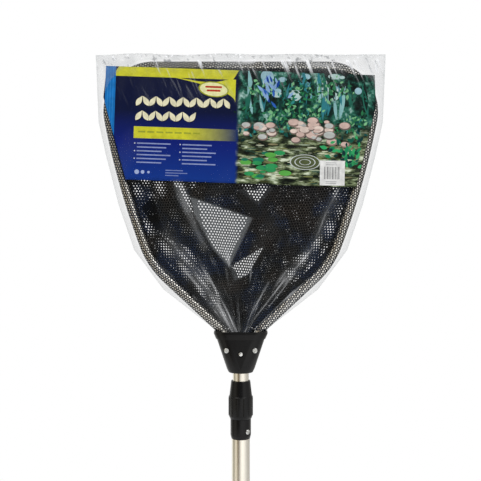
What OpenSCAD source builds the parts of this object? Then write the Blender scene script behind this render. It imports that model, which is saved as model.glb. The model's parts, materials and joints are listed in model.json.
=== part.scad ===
/* [Handle] */
// Outer diameter of the outer pole tube
outer_tube_d = 25; // [24:0.5:27]
// Wall thickness of the outer pole tube
outer_tube_wall = 1.2; // [1:0.1:1.2]
// Outer diameter of the inner pole tube
inner_tube_d = 22.2; // [22:0.1:22.3]
// Wall thickness of the inner pole tube
inner_tube_wall = 1.1; // [0.9:0.1:1.4]
// Bare length of the outer tube between the grip and the lock
bare_len = 320; // [300:10:600]
// Length of the hand grip
grip_len = 140; // [100:10:180]
// Diameter of the hand grip
grip_d = 31; // [30:0.5:34]
// Radius of the hanging hole in the end cap
hang_hole_r = 5; // [3:0.5:6]

/* [Twist lock] */
// Length of the twist lock from end to end
lock_len = 79.4; // [79:0.2:84]
// Diameter of the sleeve that is screwed to the outer tube
lock_sleeve_d = 28.3; // [28:0.1:30]
// Diameter over the ribs of the twist nut
nut_d = 34.6; // [34:0.2:38]
// Number of grip ribs around the nut
nut_ribs = 12; // [8:1:18]
// Bare length of the inner tube between the lock and the yoke
neck_gap = 12; // [12:1:60]

/* [Yoke] */
// Width of the yoke's lip
yoke_lip_w = 74.5; // [74:0.5:80]
// Depth of the yoke's lip from front to back
yoke_lip_depth = 39; // [38:0.5:42]
// Height of the yoke below its lip plane
yoke_h = 53.8; // [52:0.2:60]
// Diameter of the yoke at its lower end
yoke_foot_d = 38.6; // [37:0.2:42]
// Sideways distance of each clamp screw from the pole axis
screw_x = 19; // [18.5:0.1:19.5]
// Diameter of the clamp screw heads
screw_head_d = 7.2; // [6:0.1:7.4]

/* [Hoop] */
// Outer diameter of the bent hoop tube
hoop_d = 12; // [11:0.5:12]
// Wall thickness of the hoop tube
hoop_wall = 1.2; // [1:0.1:1.6]
// Angle of the two arms from the pole axis
arm_angle = 47; // [46:1:48]
// Angle of the sides from the pole axis at their lower end
side_angle = 20.6; // [19:0.2:22]
// Angle of the sides from the pole axis at their upper end
corner_angle = 11; // [8:1:13]
// Length of each straight arm
arm_len = 98.5; // [90:0.5:110]
// Bend radius between arm and side
bend_r = 117; // [100:1:130]
// Radius of the long side curve
side_r = 1076; // [1000:1:1100]
// Bend radius of the two top corners
corner_r = 62; // [50:1:70]

/* [Net and wrapping] */
// Thickness of one layer of netting
net_t = 1.2; // [0.8:0.1:1.4]
// Spacing of the gaps in the netting panels
gap_pitch = 26.5; // [26:0.5:40]
// Width of a strand between two gaps
strand_w = 4; // [3:0.5:6]
// Thickness of the header card
card_t = 0.7; // [0.4:0.1:0.8]
// Thickness of the bag film
film_t = 0.6; // [0.4:0.1:0.8]
// Side of the square price label
label_w = 34; // [20:0.5:40]

/* [Hidden] */
$fn = 64;

eps = 0.01;
skip = 0.15;                        // clearance between pieces that lie still together
run = 0.1;                          // radial clearance where a piece turns or slides
joint_gap = 0.1;                    // half the gap between two rods of the hoop, inside their swaged ring
swage_len = 3;
swage_rise = 0.1;

// Heights along the pole axis, from the middle of the hand grip
grip_bottom = -grip_len / 2;
lock_bottom = grip_len / 2 + bare_len;
yoke_plane = lock_bottom + lock_len + neck_gap + yoke_h;
tube_seat = 22;                     // depth of the outer tube in the lock sleeve
outer_r = outer_tube_d / 2;
inner_r = inner_tube_d / 2;
hoop_r = hoop_d / 2;
sleeve_in = hoop_r + skip;
sleeve_out = hoop_r + 1;

// End cap
cap_flange = 8;
cap_plug = 20;
tab_r = 11;
tab_t = 9;
tab_drop = 17;                      // from the grip's lower end to the hanging hole

// Inner tube and its nylon guide
bush_flange = 18;
bush_stem = 14;
inner_bottom = lock_bottom - 340;   // lower end of the inner tube when the pole is closed
inner_top = yoke_plane - 12;

// Lock heights above the lock's lower end
sleeve_top = 27;
neck_top = 46;
finger_top = 60;
band_bottom = 32;
band_top = 58.5;
neck_r = 13.6;
lock_screw_z = 11;
lock_screw_turn = 40;

// Yoke heights from its lip plane
lip_top = 2.6;
lip_bottom = -7.5;
body_w = 66.5;
body_depth = 36;
screw_z = -22.5;
rivet_z = -27.5;
screw_floor = 14.2;                 // distance of the screw seats in front of the mid plane
screw_end = 12;                     // reach of the screws behind the mid plane
end_angle = 14;                     // the hoop ends' angle inside the yoke
entry_r = 25;
end_depth = -29;

// Hoop path. A heading is the angle from +Z towards +X while going up the right side.
// A left-hand bend with centre c passes c + r * [cos(heading), -sin(heading)].
arm_foot = [30.84, 8.34];           // where the right arm leaves the entry bend
arm_end = arm_foot + arm_len * [sin(arm_angle), cos(arm_angle)];
bend_c = arm_end - bend_r * [cos(arm_angle), -sin(arm_angle)];
bend_end = bend_c + bend_r * [cos(side_angle), -sin(side_angle)];
side_c = bend_end - side_r * [cos(side_angle), -sin(side_angle)];
side_end = side_c + side_r * [cos(corner_angle), -sin(corner_angle)];
corner_c = side_end - corner_r * [cos(corner_angle), -sin(corner_angle)];
hoop_top = corner_c[1] + corner_r;
entry_c = arm_foot + entry_r * [cos(arm_angle), -sin(arm_angle)];
entry_end = entry_c - entry_r * [cos(end_angle), -sin(end_angle)];
end_len = (entry_end[1] - end_depth) / cos(end_angle);

// Points on one bend, inward of the path by d
function on_bend(c, r, d, from, to, steps) =
    [for (i = [0 : steps]) let (a = from + (to - from) * i / steps) c + (r - d) * [cos(a), -sin(a)]];

// The right half of the hoop's outline, inward by d, from a foot at height z0 up to the top
function half_outline(d, z0) =
    let (in_n = [-cos(arm_angle), sin(arm_angle)],
         foot = arm_foot + d * in_n,
         slide = (z0 - foot[1]) / cos(arm_angle))
    concat([foot + slide * [sin(arm_angle), cos(arm_angle)]],
           on_bend(bend_c, bend_r, d, arm_angle, side_angle, 4),
           on_bend(side_c, side_r, d, side_angle, corner_angle, 3),
           on_bend(corner_c, corner_r, d, corner_angle, -90, 12));

// A polygon grown or shrunk about the middle of its corners
function scaled(points, k) =
    let (middle = [for (p = points) 1] * points / len(points))
    [for (p = points) middle + (p - middle) * k];

function mirrored(points) = [for (i = [len(points) - 1 : -1 : 0]) [-points[i][0], points[i][1]]];
function outline(d, z0) = let (half = half_outline(d, z0)) concat(half, mirrored(half));

// Half-width of the hoop's outline at height z, inward by d
function half_width(z, d) =
    lookup(z, [for (p = half_outline(d, net_foot)) [p[1], p[0]]]);

// Netting
net_y = 7.4;                        // inner face of the front and back panels
net_foot = -5;                      // in the yoke's mouth
net_hem = 10;                       // border without gaps along the hoop
gap_r = (gap_pitch - strand_w) / sqrt(3);
row_step = gap_pitch * sqrt(3) / 2;
net_rows = floor((hoop_top - net_foot) / row_step);
net_columns = ceil(corner_c[0] / gap_pitch) + 3;

// Places where the front panel leaves the back panel alone in sight
windows = [
    [[-67, 185], [15, 157], [-16, 92], [-38, 117], [-63, 164]],
    [[-13, 92], [31, 118], [9, 80], [-8, 73]],
    [[-1, 195], [43, 198], [24, 176]],
    [[-90, 204], [-80, 204], [-70, 187], [-69, 166], [-76, 166], [-87, 187]]
];
window_margin = 1.3;                // scale of the solid border round each of them

// The folds and tapes of the netting that lie in the bag, as outlines in the hoop's plane
fold_left = [[-70, 172], [-63, 161], [-38, 114], [-16, 89], [-6, 71], [0, 1], [-13, 1], [-26, 45],
             [-49, 93], [-72, 118], [-98, 128], [-120, 146], [-136, 172], [-122, 188], [-104, 182],
             [-98, 210], [-84, 197]];
fold_right = [[31, 118], [58, 97], [69, 66], [29, 28], [10, 1], [2, 1], [-8, 73], [9, 80]];
fold_back = [[-69, 187], [-62, 210], [-1, 210], [-1, 195], [24, 175], [43, 198], [49, 210], [126, 210],
             [130, 178], [114, 142], [92, 112], [58, 97], [31, 118], [-13, 92], [-16, 92], [15, 157]];
tape_left = [[-63, 197], [-52, 149], [-34, 116], [-12, 91], [-2, 71], [3, 2], [-5, 2], [-10, 69],
             [-20, 87], [-42, 112], [-60, 147], [-71, 197]];
tape_right = [[48, 196], [28, 170], [19, 152], [3, 117], [-10, 90], [-20, 94], [-7, 121], [9, 157],
              [20, 176], [39, 202]];
bottom_band = [[-8, 188], [4, 202], [31, 180], [63, 138], [75, 120], [61, 108], [49, 126], [17, 167]];

// Wrapping, as outlines in the hoop's plane
film_half = [[34, -6], [107, 60], [147, 114], [168, 175], [186, 245], [196, 290], [200, 385]];
film_y = 13;
film_ease = 2;                      // how far the flat front goes past the hoop's centre line
film_foot = 3;                      // beside the hoop's ends
film_tuck = -4;                     // between them, in the yoke's mouth
film_tuck_w = 17;
film_square = [191, 300, 371];      // half-width and heights of the square upper part over the card
card_y = 10.2;
card_tilt = -2;
card_top = [0, 359];
card_half_top = 183;
card_shoulder = [186, -43];         // where the card is widest
card_left_foot = [-152, -154];
card_right_foot = [163, -154];
label_at = [125, 219];

// A cylinder whose ends have a small cone, as a turned outline
module chamfered(r, h, c) {
    rotate_extrude()
        polygon([[0, 0], [r - c, 0], [r, c], [r, h - c], [r - c, h], [0, h]]);
}

// A tube between two radii
module tube(ro, ri, h) {
    difference() {
        cylinder(r = ro, h = h);
        translate([0, 0, -1]) cylinder(r = ri, h = h + 2);
    }
}

// A hole across the pole axis, from the front to the back
module cross_hole(r, reach) {
    rotate([90, 0, 0]) cylinder(r = r, h = 2 * reach, center = true);
}

// A round rod along one bend of the hoop, in the XZ plane, between two angles from +X towards +Z
module bend(c, r, from, to, rod_r) {
    trim = joint_gap / r * 180 / PI;
    steps = 96 + 6 * r / corner_r;
    translate([c[0], 0, c[1]]) rotate([90, 0, 0]) rotate([0, 0, from + trim])
        rotate_extrude(angle = to - from - 2 * trim, $fn = steps) translate([r, 0]) circle(r = rod_r);
}

// A round rod from p along a heading
module straight(p, heading, run_len, rod_r) {
    translate([p[0], 0, p[1]]) rotate([0, heading, 0]) cylinder(r = rod_r, h = run_len);
}

// The narrow swaged ring where two rods meet at p
module swage(p, heading, rod_r) {
    straight(p - swage_len / 2 * [sin(heading), cos(heading)], heading, swage_len, rod_r + swage_rise);
}

// The right half of the hoop above the yoke, as rods of one radius
module upper_half(rod_r, skip_len) {
    start = arm_foot + skip_len * [sin(arm_angle), cos(arm_angle)];
    straight(start, arm_angle, arm_len - skip_len - joint_gap, rod_r);
    swage(arm_end, arm_angle, rod_r);
    bend(bend_c, bend_r, -arm_angle, -side_angle, rod_r);
    swage(bend_end, side_angle, rod_r);
    bend(side_c, side_r, -side_angle, -corner_angle, rod_r);
    swage(side_end, corner_angle, rod_r);
    bend(corner_c, corner_r, -corner_angle, 90, rod_r);
    swage([corner_c[0], hoop_top], 90, rod_r);
}

// The right end of the hoop inside the yoke, as rods of one radius
module lower_half(rod_r) {
    along = [sin(end_angle), cos(end_angle)];
    straight(entry_end - end_len * along, end_angle, end_len - joint_gap, rod_r);
    swage(entry_end, end_angle, rod_r);
    bend(entry_c, entry_r, 180 - arm_angle, 180 - end_angle, rod_r);
    swage(arm_foot, arm_angle, rod_r);
}

module both_sides() {
    children();
    mirror([1, 0, 0]) children();
}

module top_bar(rod_r) {
    straight([joint_gap - corner_c[0], hoop_top], 90, 2 * (corner_c[0] - joint_gap), rod_r);
}

// The whole hoop above the yoke, as rods of one radius
module hoop_rods(rod_r, skip_len) {
    both_sides() upper_half(rod_r, skip_len);
    top_bar(rod_r);
}

// A flat sheet in the hoop's plane, from its outline, with its front face at y
module sheet(points, y, t) {
    translate([0, 0, yoke_plane]) rotate([90, 0, 0]) translate([0, 0, -y - t])
        linear_extrude(t) polygon(points);
}

// ---- handle ----

module outer_tube() {
    color("silver") difference() {
        translate([0, 0, grip_bottom])
            tube(outer_r, outer_r - outer_tube_wall, lock_bottom + tube_seat - grip_bottom);
        translate([0, 0, lock_bottom + lock_screw_z]) rotate([0, 0, lock_screw_turn])
            rotate([90, 0, 0]) cylinder(r = 1.65, h = outer_r + 1);
    }
}

module hand_grip() {
    color([0.08, 0.08, 0.09]) translate([0, 0, grip_bottom]) difference() {
        chamfered(grip_d / 2, grip_len, 3);
        translate([0, 0, -1]) cylinder(r = outer_r + 0.05, h = grip_len + 2);
    }
}

module end_cap() {
    color([0.07, 0.07, 0.08]) translate([0, 0, grip_bottom]) difference() {
        union() {
            cylinder(r = outer_r - outer_tube_wall - 0.05, h = cap_plug);
            translate([0, 0, -cap_flange]) chamfered(grip_d / 2, cap_flange, 2);
            translate([0, 0, -tab_drop]) rotate([90, 0, 0])
                cylinder(r = tab_r, h = tab_t, center = true);
            translate([-tab_r, -tab_t / 2, -tab_drop])
                cube([2 * tab_r, tab_t, tab_drop - cap_flange + 1]);
        }
        translate([0, 0, -tab_drop]) cross_hole(hang_hole_r, tab_t);
        translate([0, 0, 2]) cylinder(r = outer_r - outer_tube_wall - 2.5, h = cap_plug);
    }
}

// ---- twist lock ----

module collet_body() {
    finger_r = 13.2;
    color([0.06, 0.06, 0.07]) translate([0, 0, lock_bottom]) difference() {
        rotate_extrude() polygon([
            [0, 0], [12.9, 0], [lock_sleeve_d / 2, 5], [lock_sleeve_d / 2, sleeve_top],
            [neck_r, sleeve_top], [neck_r, neck_top], [finger_r, neck_top], [12.4, finger_top], [0, finger_top]
        ]);
        translate([0, 0, -1]) cylinder(r = outer_r + 0.05, h = tube_seat + 1.1);
        cylinder(r = inner_r + run, h = finger_top + 1);
        for (turn = [0, 90])
            rotate([0, 0, turn]) translate([-20, -0.8, 40]) cube([40, 1.6, 30]);
        translate([0, 0, lock_screw_z]) rotate([0, 0, lock_screw_turn]) rotate([90, 0, 0]) {
            cylinder(r = 1.65, h = 20);
            translate([0, 0, 13.6]) cylinder(r = 3.6, h = 10);
        }
    }
}

// A cross recess for a screwdriver, cut into a head whose top is at z = 0
module cross_recess(reach) {
    for (turn = [0, 90])
        rotate([0, 0, turn]) translate([-reach, -0.5, -1.2]) cube([2 * reach, 1, 2]);
}

module collar_screw() {
    tip = outer_r - outer_tube_wall + 0.05;
    color("silver") translate([0, 0, lock_bottom + lock_screw_z]) rotate([0, 0, lock_screw_turn])
        rotate([90, 0, 0]) difference() {
            union() {
                translate([0, 0, tip]) cylinder(r = 1.6, h = 14 - tip);
                translate([0, 0, 13.7]) chamfered(3.3, 2.1, 0.7);
            }
            translate([0, 0, 15.8]) cross_recess(2);
        }
}

module wedge_ring() {
    color([0.85, 0.85, 0.82]) translate([0, 0, lock_bottom]) difference() {
        rotate_extrude() polygon([
            [13.45, 50], [13.75, 50.4], [13.75, 59.8], [12.7, 59.8], [12.7, 66], [inner_r + run, 66],
            [inner_r + run, 60.6], [12.55, 60.6]
        ]);
        translate([0, -0.6, 40]) cube([20, 1.2, 40]);
    }
}

module lock_nut() {
    band_r = nut_d / 2 - 0.7;
    cone_r = 15.5;
    color([0.06, 0.06, 0.07]) translate([0, 0, lock_bottom]) difference() {
        union() {
            rotate_extrude() polygon([
                [0, sleeve_top + 0.6], [14.8, sleeve_top + 0.6], [band_r, band_bottom],
                [band_r, band_top - 1], [cone_r, band_top + 0.4], [13.3, lock_len - 1], [12.9, lock_len], [0, lock_len]
            ]);
            for (i = [0 : nut_ribs - 1])
                rotate([0, 0, (i + 0.5) * 360 / nut_ribs]) translate([0, -band_r + 0.5, band_bottom + 0.6])
                    cylinder(r = 1.2, h = band_top - band_bottom - 2.4);
        }
        translate([0, 0, sleeve_top]) cylinder(r = neck_r + 0.4, h = 60.2 - sleeve_top);
        translate([0, 0, 60]) cylinder(r = 12.9, h = 6.4);
        cylinder(r = inner_r + 0.4, h = lock_len + 1);
    }
}

// ---- inner pole ----

module guide_bush() {
    color([0.85, 0.85, 0.82]) translate([0, 0, inner_bottom]) {
        translate([0, 0, -bush_flange])
            chamfered(outer_r - outer_tube_wall - 0.08, bush_flange - 0.2, 1.5);
        translate([0, 0, -1])
            chamfered(inner_r - inner_tube_wall - 0.08, bush_stem + 1, 1);
    }
}

module inner_tube() {
    color("silver") difference() {
        translate([0, 0, inner_bottom]) tube(inner_r, inner_r - inner_tube_wall, inner_top - inner_bottom);
        translate([0, 0, yoke_plane + rivet_z]) cross_hole(2.05, 20);
    }
}

// ---- yoke ----

// One level of the yoke: two round ends joined by straight sides
module level(w, depth, z, h) {
    for (side = [-1, 1])
        translate([side * (w - depth) / 2, 0, z]) cylinder(r = depth / 2, h = h, $fn = 32);
}

module yoke_outside() {
    foot_r = yoke_foot_d / 2;
    hull() {
        level(body_w, body_depth, lip_bottom - eps, eps);
        translate([0, 0, 5 - yoke_h]) cylinder(r = foot_r, h = eps, $fn = 48);
        translate([0, 0, -yoke_h]) cylinder(r = foot_r - 2.5, h = eps, $fn = 48);
    }
    hull() {
        level(body_w + 2, body_depth + 1, lip_bottom - 0.5, eps);
        level(yoke_lip_w, yoke_lip_depth, -1, eps);
        level(yoke_lip_w - 1, yoke_lip_depth - 1, lip_top, eps);
    }
}

module yoke_cuts() {
    hull() {
        level(yoke_lip_w - 7, yoke_lip_depth - 7, lip_top, eps);
        level(yoke_lip_w - 10, yoke_lip_depth - 9, lip_bottom, eps);
    }
    translate([0, 0, -yoke_h - 1]) cylinder(r = inner_r + 0.05, h = yoke_h + 1);
    both_sides() {
        lower_half(hoop_r + 0.05);
        straight(arm_foot, arm_angle, 20, hoop_r + 0.1);
        translate([screw_x, 0, screw_z]) {
            translate([0, screw_end + 0.5, 0]) rotate([90, 0, 0]) cylinder(r = 2.05, h = 40);
            translate([0, -screw_floor, 0]) rotate([90, 0, 0]) cylinder(r = screw_head_d / 2 + 0.3, h = 20);
        }
    }
    translate([0, 0, rivet_z]) {
        cross_hole(2.05, 30);
        for (turn = [0, 180])
            rotate([0, 0, turn]) translate([0, -16.6, 0]) rotate([90, 0, 0])
                cylinder(r = screw_head_d / 2 + 0.3, h = 20);
    }
}

// One moulded half of the yoke: side -1 is the front, 1 the back
module yoke_half(side) {
    translate([0, 0, yoke_plane]) difference() {
        intersection() {
            yoke_outside();
            translate([-50, side < 0 ? -50.05 : 0.05, -60]) cube([100, 50, 80]);
        }
        yoke_cuts();
    }
}

module yoke_front() {
    color([0.05, 0.05, 0.055]) yoke_half(-1);
}

module yoke_back() {
    color([0.05, 0.05, 0.055]) yoke_half(1);
}

module yoke_screws() {
    head_t = 2.2;
    color("silver") translate([0, 0, yoke_plane + screw_z]) both_sides()
        translate([screw_x, 0, 0]) rotate([90, 0, 0]) difference() {
            union() {
                translate([0, 0, screw_floor]) chamfered(screw_head_d / 2, head_t, 0.8);
                translate([0, 0, -screw_end]) cylinder(r = 2, h = screw_end + screw_floor + 0.1);
            }
            translate([0, 0, screw_floor + head_t]) cross_recess(2.2);
        }
}

module pole_rivet() {
    seat = 16.6;
    color("silver") translate([0, 0, yoke_plane + rivet_z]) {
        cross_hole(2, seat + 0.1);
        for (turn = [0, 180])
            rotate([0, 0, turn]) translate([0, -seat, 0]) rotate([90, 0, 0])
                rotate_extrude() polygon([[0, 0], [screw_head_d / 2, 0], [3.2, 0.9], [2.2, 1.7], [0, 2.1]]);
    }
}

// ---- hoop and hem ----

module hoop_tube() {
    bore_r = hoop_r - hoop_wall;
    color([0.8, 0.8, 0.78]) translate([0, 0, yoke_plane]) difference() {
        union() {
            hoop_rods(hoop_r, joint_gap);
            both_sides() lower_half(hoop_r);
        }
        hoop_rods(bore_r, joint_gap);
        both_sides() {
            lower_half(bore_r);
            translate([screw_x, 0, screw_z]) cross_hole(2.05, 20);
        }
    }
}

module hem_sleeve() {
    color([0.12, 0.12, 0.12]) translate([0, 0, yoke_plane]) difference() {
        hoop_rods(sleeve_out, 1);
        hoop_rods(sleeve_in, 0.5);
    }
}

// The binding that closes the sleeve, along the inside of the hoop
module hem_tape() {
    tape_out = sleeve_out + 0.3;
    tape_in = tape_out + 9;
    color([0.06, 0.06, 0.06]) translate([0, 0, yoke_plane]) rotate([90, 0, 0])
        linear_extrude(1.4, center = true) difference() {
            polygon(outline(tape_out, 12));
            polygon(outline(tape_in, 0));
        }
}

// ---- netting ----

// The gaps of one panel, on a staggered grid, where they clear the hem
module net_gaps() {
    for (row = [0 : net_rows])
        let (z = net_foot + gap_pitch + row * row_step, shift = (row % 2) / 2)
            for (column = [-net_columns : net_columns])
                let (x = (column + shift) * gap_pitch,
                     room = min(half_width(z - gap_r, net_hem), half_width(z + gap_r, net_hem)))
                    if (abs(x) + gap_r < room && z + gap_r < hoop_top - net_hem)
                        translate([x, z]) rotate(30) circle(r = gap_r, $fn = 6);
}

module net_panel(y, openings) {
    translate([0, 0, yoke_plane]) rotate([90, 0, 0]) translate([0, 0, -y - net_t])
        linear_extrude(net_t) difference() {
            polygon(outline(0.5, net_foot));
            difference() {
                net_gaps();
                for (opening = openings) polygon(scaled(opening, window_margin));
            }
            for (opening = openings) polygon(opening);
        }
}

module net_front() {
    color([0.1, 0.1, 0.11]) net_panel(-net_y - net_t, windows);
}

module net_back() {
    color([0.1, 0.1, 0.11]) net_panel(net_y, []);
}

module net_fold_left() {
    color([0.11, 0.11, 0.12]) sheet(fold_left, -4.6, net_t);
}

module net_fold_right() {
    color([0.11, 0.11, 0.12]) sheet(fold_right, -2.6, net_t);
}

module net_fold_back() {
    color([0.11, 0.11, 0.12]) sheet(fold_back, 3.6, net_t);
}

module seam_tape_left() {
    color([0.05, 0.05, 0.05]) sheet(tape_left, -6.4, 1);
}

module seam_tape_right() {
    color([0.05, 0.05, 0.05]) sheet(tape_right, -0.6, 1);
}

module bottom_strip() {
    color([0.05, 0.05, 0.05]) sheet(bottom_band, 1.4, 1);
}

// ---- wrapping ----

// The card's outline: straight at the top, widest below it, narrow at the foot
card_outline = [
    [-card_half_top, 0], [-card_shoulder[0], card_shoulder[1]], card_left_foot,
    card_right_foot, card_shoulder, [card_half_top, 0]
];

module header_card() {
    color([0.05, 0.15, 0.6]) translate([0, 0, yoke_plane]) rotate([90, 0, 0])
        translate([card_top[0], card_top[1], card_y]) rotate(card_tilt)
            linear_extrude(card_t) polygon(card_outline);
}

module price_label() {
    color("white") translate([0, 0, yoke_plane]) rotate([90, 0, 0])
        translate([label_at[0], label_at[1], card_y + card_t]) rotate(-1)
            linear_extrude(0.15) square(label_w, center = true);
}

module film_slab(points, y, t) {
    rotate([90, 0, 0]) translate([0, 0, y]) linear_extrude(t) polygon(points);
}

// A shallow dish towards the front, closed by its rim at the mid plane
module film_dish(shrink) {
    rim = [for (p = film_half) [p[0] - shrink, p[1] - (p[1] > hoop_top ? shrink : 0)]];
    square_half = [for (z = [film_square[1], film_square[2]]) [film_square[0] - shrink, z]];
    front = film_y - eps - shrink;
    hull() {
        film_slab(concat(rim, mirrored(rim)), 0, eps);
        film_slab(outline(shrink - film_ease, film_half[0][1]), front, eps);
        film_slab(concat(square_half, mirrored(square_half)), front, eps);
    }
}

module bag_film() {
    translate([0, 0, yoke_plane]) difference() {
        film_dish(0);
        translate([0, eps, 0]) film_dish(film_t);
        translate([-60, -30, -30]) cube([120, 60, 30 + film_tuck]);
        both_sides() translate([film_tuck_w, -30, -30]) cube([60, 60, 30 + film_foot]);
    }
}

module bag_front_film() {
    color([0.85, 0.88, 0.9, 0.35]) bag_film();
}

module bag_back_film() {
    color([0.85, 0.88, 0.9, 0.35]) mirror([0, 1, 0]) bag_film();
}

outer_tube();
hand_grip();
end_cap();
collet_body();
collar_screw();
guide_bush();
wedge_ring();
lock_nut();
inner_tube();
yoke_front();
yoke_back();
yoke_screws();
pole_rivet();
hoop_tube();
hem_sleeve();
hem_tape();
net_front();
net_back();
net_fold_left();
net_fold_right();
net_fold_back();
seam_tape_left();
seam_tape_right();
bottom_strip();
header_card();
price_label();
bag_front_film();
bag_back_film();
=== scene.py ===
import json
from math import ceil, cos, pi, radians, sin, sqrt

import bmesh
import bpy
import numpy as np
from bpy.props import FloatProperty, IntProperty, PointerProperty, StringProperty
from mathutils import Matrix, Vector

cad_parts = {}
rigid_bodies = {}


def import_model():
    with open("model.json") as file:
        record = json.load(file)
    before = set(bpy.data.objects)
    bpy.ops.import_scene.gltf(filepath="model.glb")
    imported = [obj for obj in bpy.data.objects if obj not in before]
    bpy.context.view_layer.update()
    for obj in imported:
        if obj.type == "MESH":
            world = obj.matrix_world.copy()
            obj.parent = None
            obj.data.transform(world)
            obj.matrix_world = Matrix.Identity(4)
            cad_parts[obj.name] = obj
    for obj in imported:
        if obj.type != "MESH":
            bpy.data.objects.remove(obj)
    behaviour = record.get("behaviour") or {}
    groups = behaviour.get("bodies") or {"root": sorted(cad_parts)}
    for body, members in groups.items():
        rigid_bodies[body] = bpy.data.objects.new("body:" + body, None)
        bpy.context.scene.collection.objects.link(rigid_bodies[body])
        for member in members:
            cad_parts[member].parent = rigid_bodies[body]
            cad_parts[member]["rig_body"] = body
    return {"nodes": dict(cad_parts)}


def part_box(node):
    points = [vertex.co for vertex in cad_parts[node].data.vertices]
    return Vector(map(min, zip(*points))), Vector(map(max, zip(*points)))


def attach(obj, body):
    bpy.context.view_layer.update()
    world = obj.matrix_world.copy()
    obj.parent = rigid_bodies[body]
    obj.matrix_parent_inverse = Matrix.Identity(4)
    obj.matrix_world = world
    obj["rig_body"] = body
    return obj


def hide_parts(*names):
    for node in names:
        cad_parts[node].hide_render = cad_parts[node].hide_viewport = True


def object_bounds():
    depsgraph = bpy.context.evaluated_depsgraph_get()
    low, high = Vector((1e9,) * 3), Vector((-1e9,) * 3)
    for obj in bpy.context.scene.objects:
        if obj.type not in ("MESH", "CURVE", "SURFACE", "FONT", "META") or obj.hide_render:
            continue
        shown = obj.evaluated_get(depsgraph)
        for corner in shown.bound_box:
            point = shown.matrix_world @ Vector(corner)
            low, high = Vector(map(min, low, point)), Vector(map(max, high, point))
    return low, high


bl_info = {
    "name": "Pond Skimmer Net",
    "version": (1, 0, 0),
    "blender": (4, 5, 0),
    "location": "View3D > Sidebar > Skimmer Net",
    "description": "Dresses a telescopic pond net: pole, yoke, hoop, netting and its packing",
    "category": "Add Mesh",
}

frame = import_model()
cad_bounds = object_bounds()

MM = 0.001

# Heights on the head are counted from the middle of the yoke's lip.
LIP_RISE = 2.6 * MM
HEAD_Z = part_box("yoke_front")[1].z - LIP_RISE

# The hoop's centre line. A heading is the angle from +Z towards +X while going up the right side.
ARM_ANGLE = radians(47)
SIDE_ANGLE = radians(20.6)
CORNER_ANGLE = radians(11)
ARM_FOOT = Vector((30.84, 8.34)) * MM
ARM_LEN = 98.5 * MM
ARM_HIDDEN = 12 * MM
BEND_R = 117 * MM
SIDE_R = 1076 * MM
CORNER_R = 62 * MM
SLEEVE_R = 7 * MM

# Netting and film fan out from points this far below the middle of the yoke's lip.
NET_GATHER = 12 * MM
FILM_GATHER = 14 * MM
# Vertices of the netting that lie closer than this are one.
MERGE = 0.02 * MM
# Where the netting's outer layers end in the yoke, in millimetres on the head
NET_FOOT = ((11, -4), (-11, -4))

# Where the front of the folded net leaves its back alone in sight, in millimetres on the head
WINDOWS = (
    ((-67, 185), (15, 157), (-16, 92), (-38, 117), (-63, 164)),
    ((-13, 92), (31, 118), (9, 80), (-8, 73)),
    ((-1, 195), (43, 198), (24, 176)),
    ((-90, 204), (-80, 204), (-70, 187), (-69, 166), (-76, 166), (-87, 187)),
)
# How much painted sheen, for light from behind, the film gets in and along the edge of each
WINDOW_BACKLIGHT_SHEEN = (0.24, 0.1, 0.06, 0.08)

# The folds of the bag between its front and its back
FOLD_LEFT = (
    (-70, 172), (-63, 161), (-38, 114), (-16, 89), (-6, 71), (0, 1), (-13, 1), (-26, 45), (-49, 93),
    (-72, 118), (-98, 128), (-120, 146), (-136, 172), (-122, 188), (-104, 182), (-98, 210), (-84, 197),
)
FOLD_RIGHT = ((31, 118), (58, 97), (69, 66), (29, 28), (10, 1), (2, 1), (-8, 73), (9, 80))
FOLD_BACK = (
    (-69, 187), (-62, 210), (-1, 210), (-1, 195), (24, 175), (43, 198), (49, 210), (126, 210),
    (130, 178), (114, 142), (92, 112), (58, 97), (31, 118), (-13, 92), (-16, 92), (15, 157),
)

# The two bound seams and the strip along the bag's bottom, as centre lines
TAPE_LEFT = ((-67, 197), (-56, 148), (-38, 114), (-16, 89), (-6, 70), (-1, 4))
TAPE_RIGHT = ((43, 198), (24, 173), (14, 154), (-2, 119), (-14, 93))
BOTTOM_STRIP = ((-3, 194), (18, 174), (41, 152), (56, 132), (68, 115))

# The bag of film: its flat size, half its depth, how round its edges are, its right edge from the yoke
# up, and the heights where it comes loose
BAG_DEPTH = 12.8 * MM
BAG_ROUND = 14 * MM
FILM_EDGE = ((17, -4), (34, 3), (107, 60), (147, 114), (168, 175), (186, 245), (196, 290), (200, 385))
LOOSE_FROM, LOOSE_FULL = 348 * MM, 366 * MM
# The creases painted with highlights where they catch the light: strength, half-width in millimetres and line
# of each
FILM_CREASES = (
    (0.3, 0.9, ((133, 197), (115, 162), (98, 117), (82, 97), (57, 70), (0, -4))),
    (0.05, 7, ((126, 180), (108, 140), (96, 117), (80, 97), (60, 72))),
    (0.3, 0.9, ((-31, 41), (-8, -4))),
    (0.3, 0.9, ((-56, 96), (-24, 42), (-2, -4))),
    (0.3, 0.9, ((38, 70), (16, 30), (4, -4))),
    (0.12, 4, ((-88, 205), (-74, 170), (-60, 140), (-48, 117))),
    (0.2, 0.7, ((-82, 205), (-70, 172), (-62, 150))),
    (0.05, 11, ((-104, 136), (-68, 84), (-30, 30), (-8, 2))),
    (0.16, 0.6, ((-96, 128), (-52, 66), (-14, 6))),
    (0.14, 0.6, ((-80, 112), (-40, 52), (-10, 2))),
    (0.16, 0.6, ((-62, 84), (-32, 46), (-6, 0))),
    (0.14, 6, ((118, 96), (102, 74), (70, 44), (44, 20))),
    (0.3, 3, ((-28, 368), (18, 371))),
    (0.25, 3, ((44, 367), (74, 370))),
    (0.35, 3.5, ((92, 367), (146, 363))),
)

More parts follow.
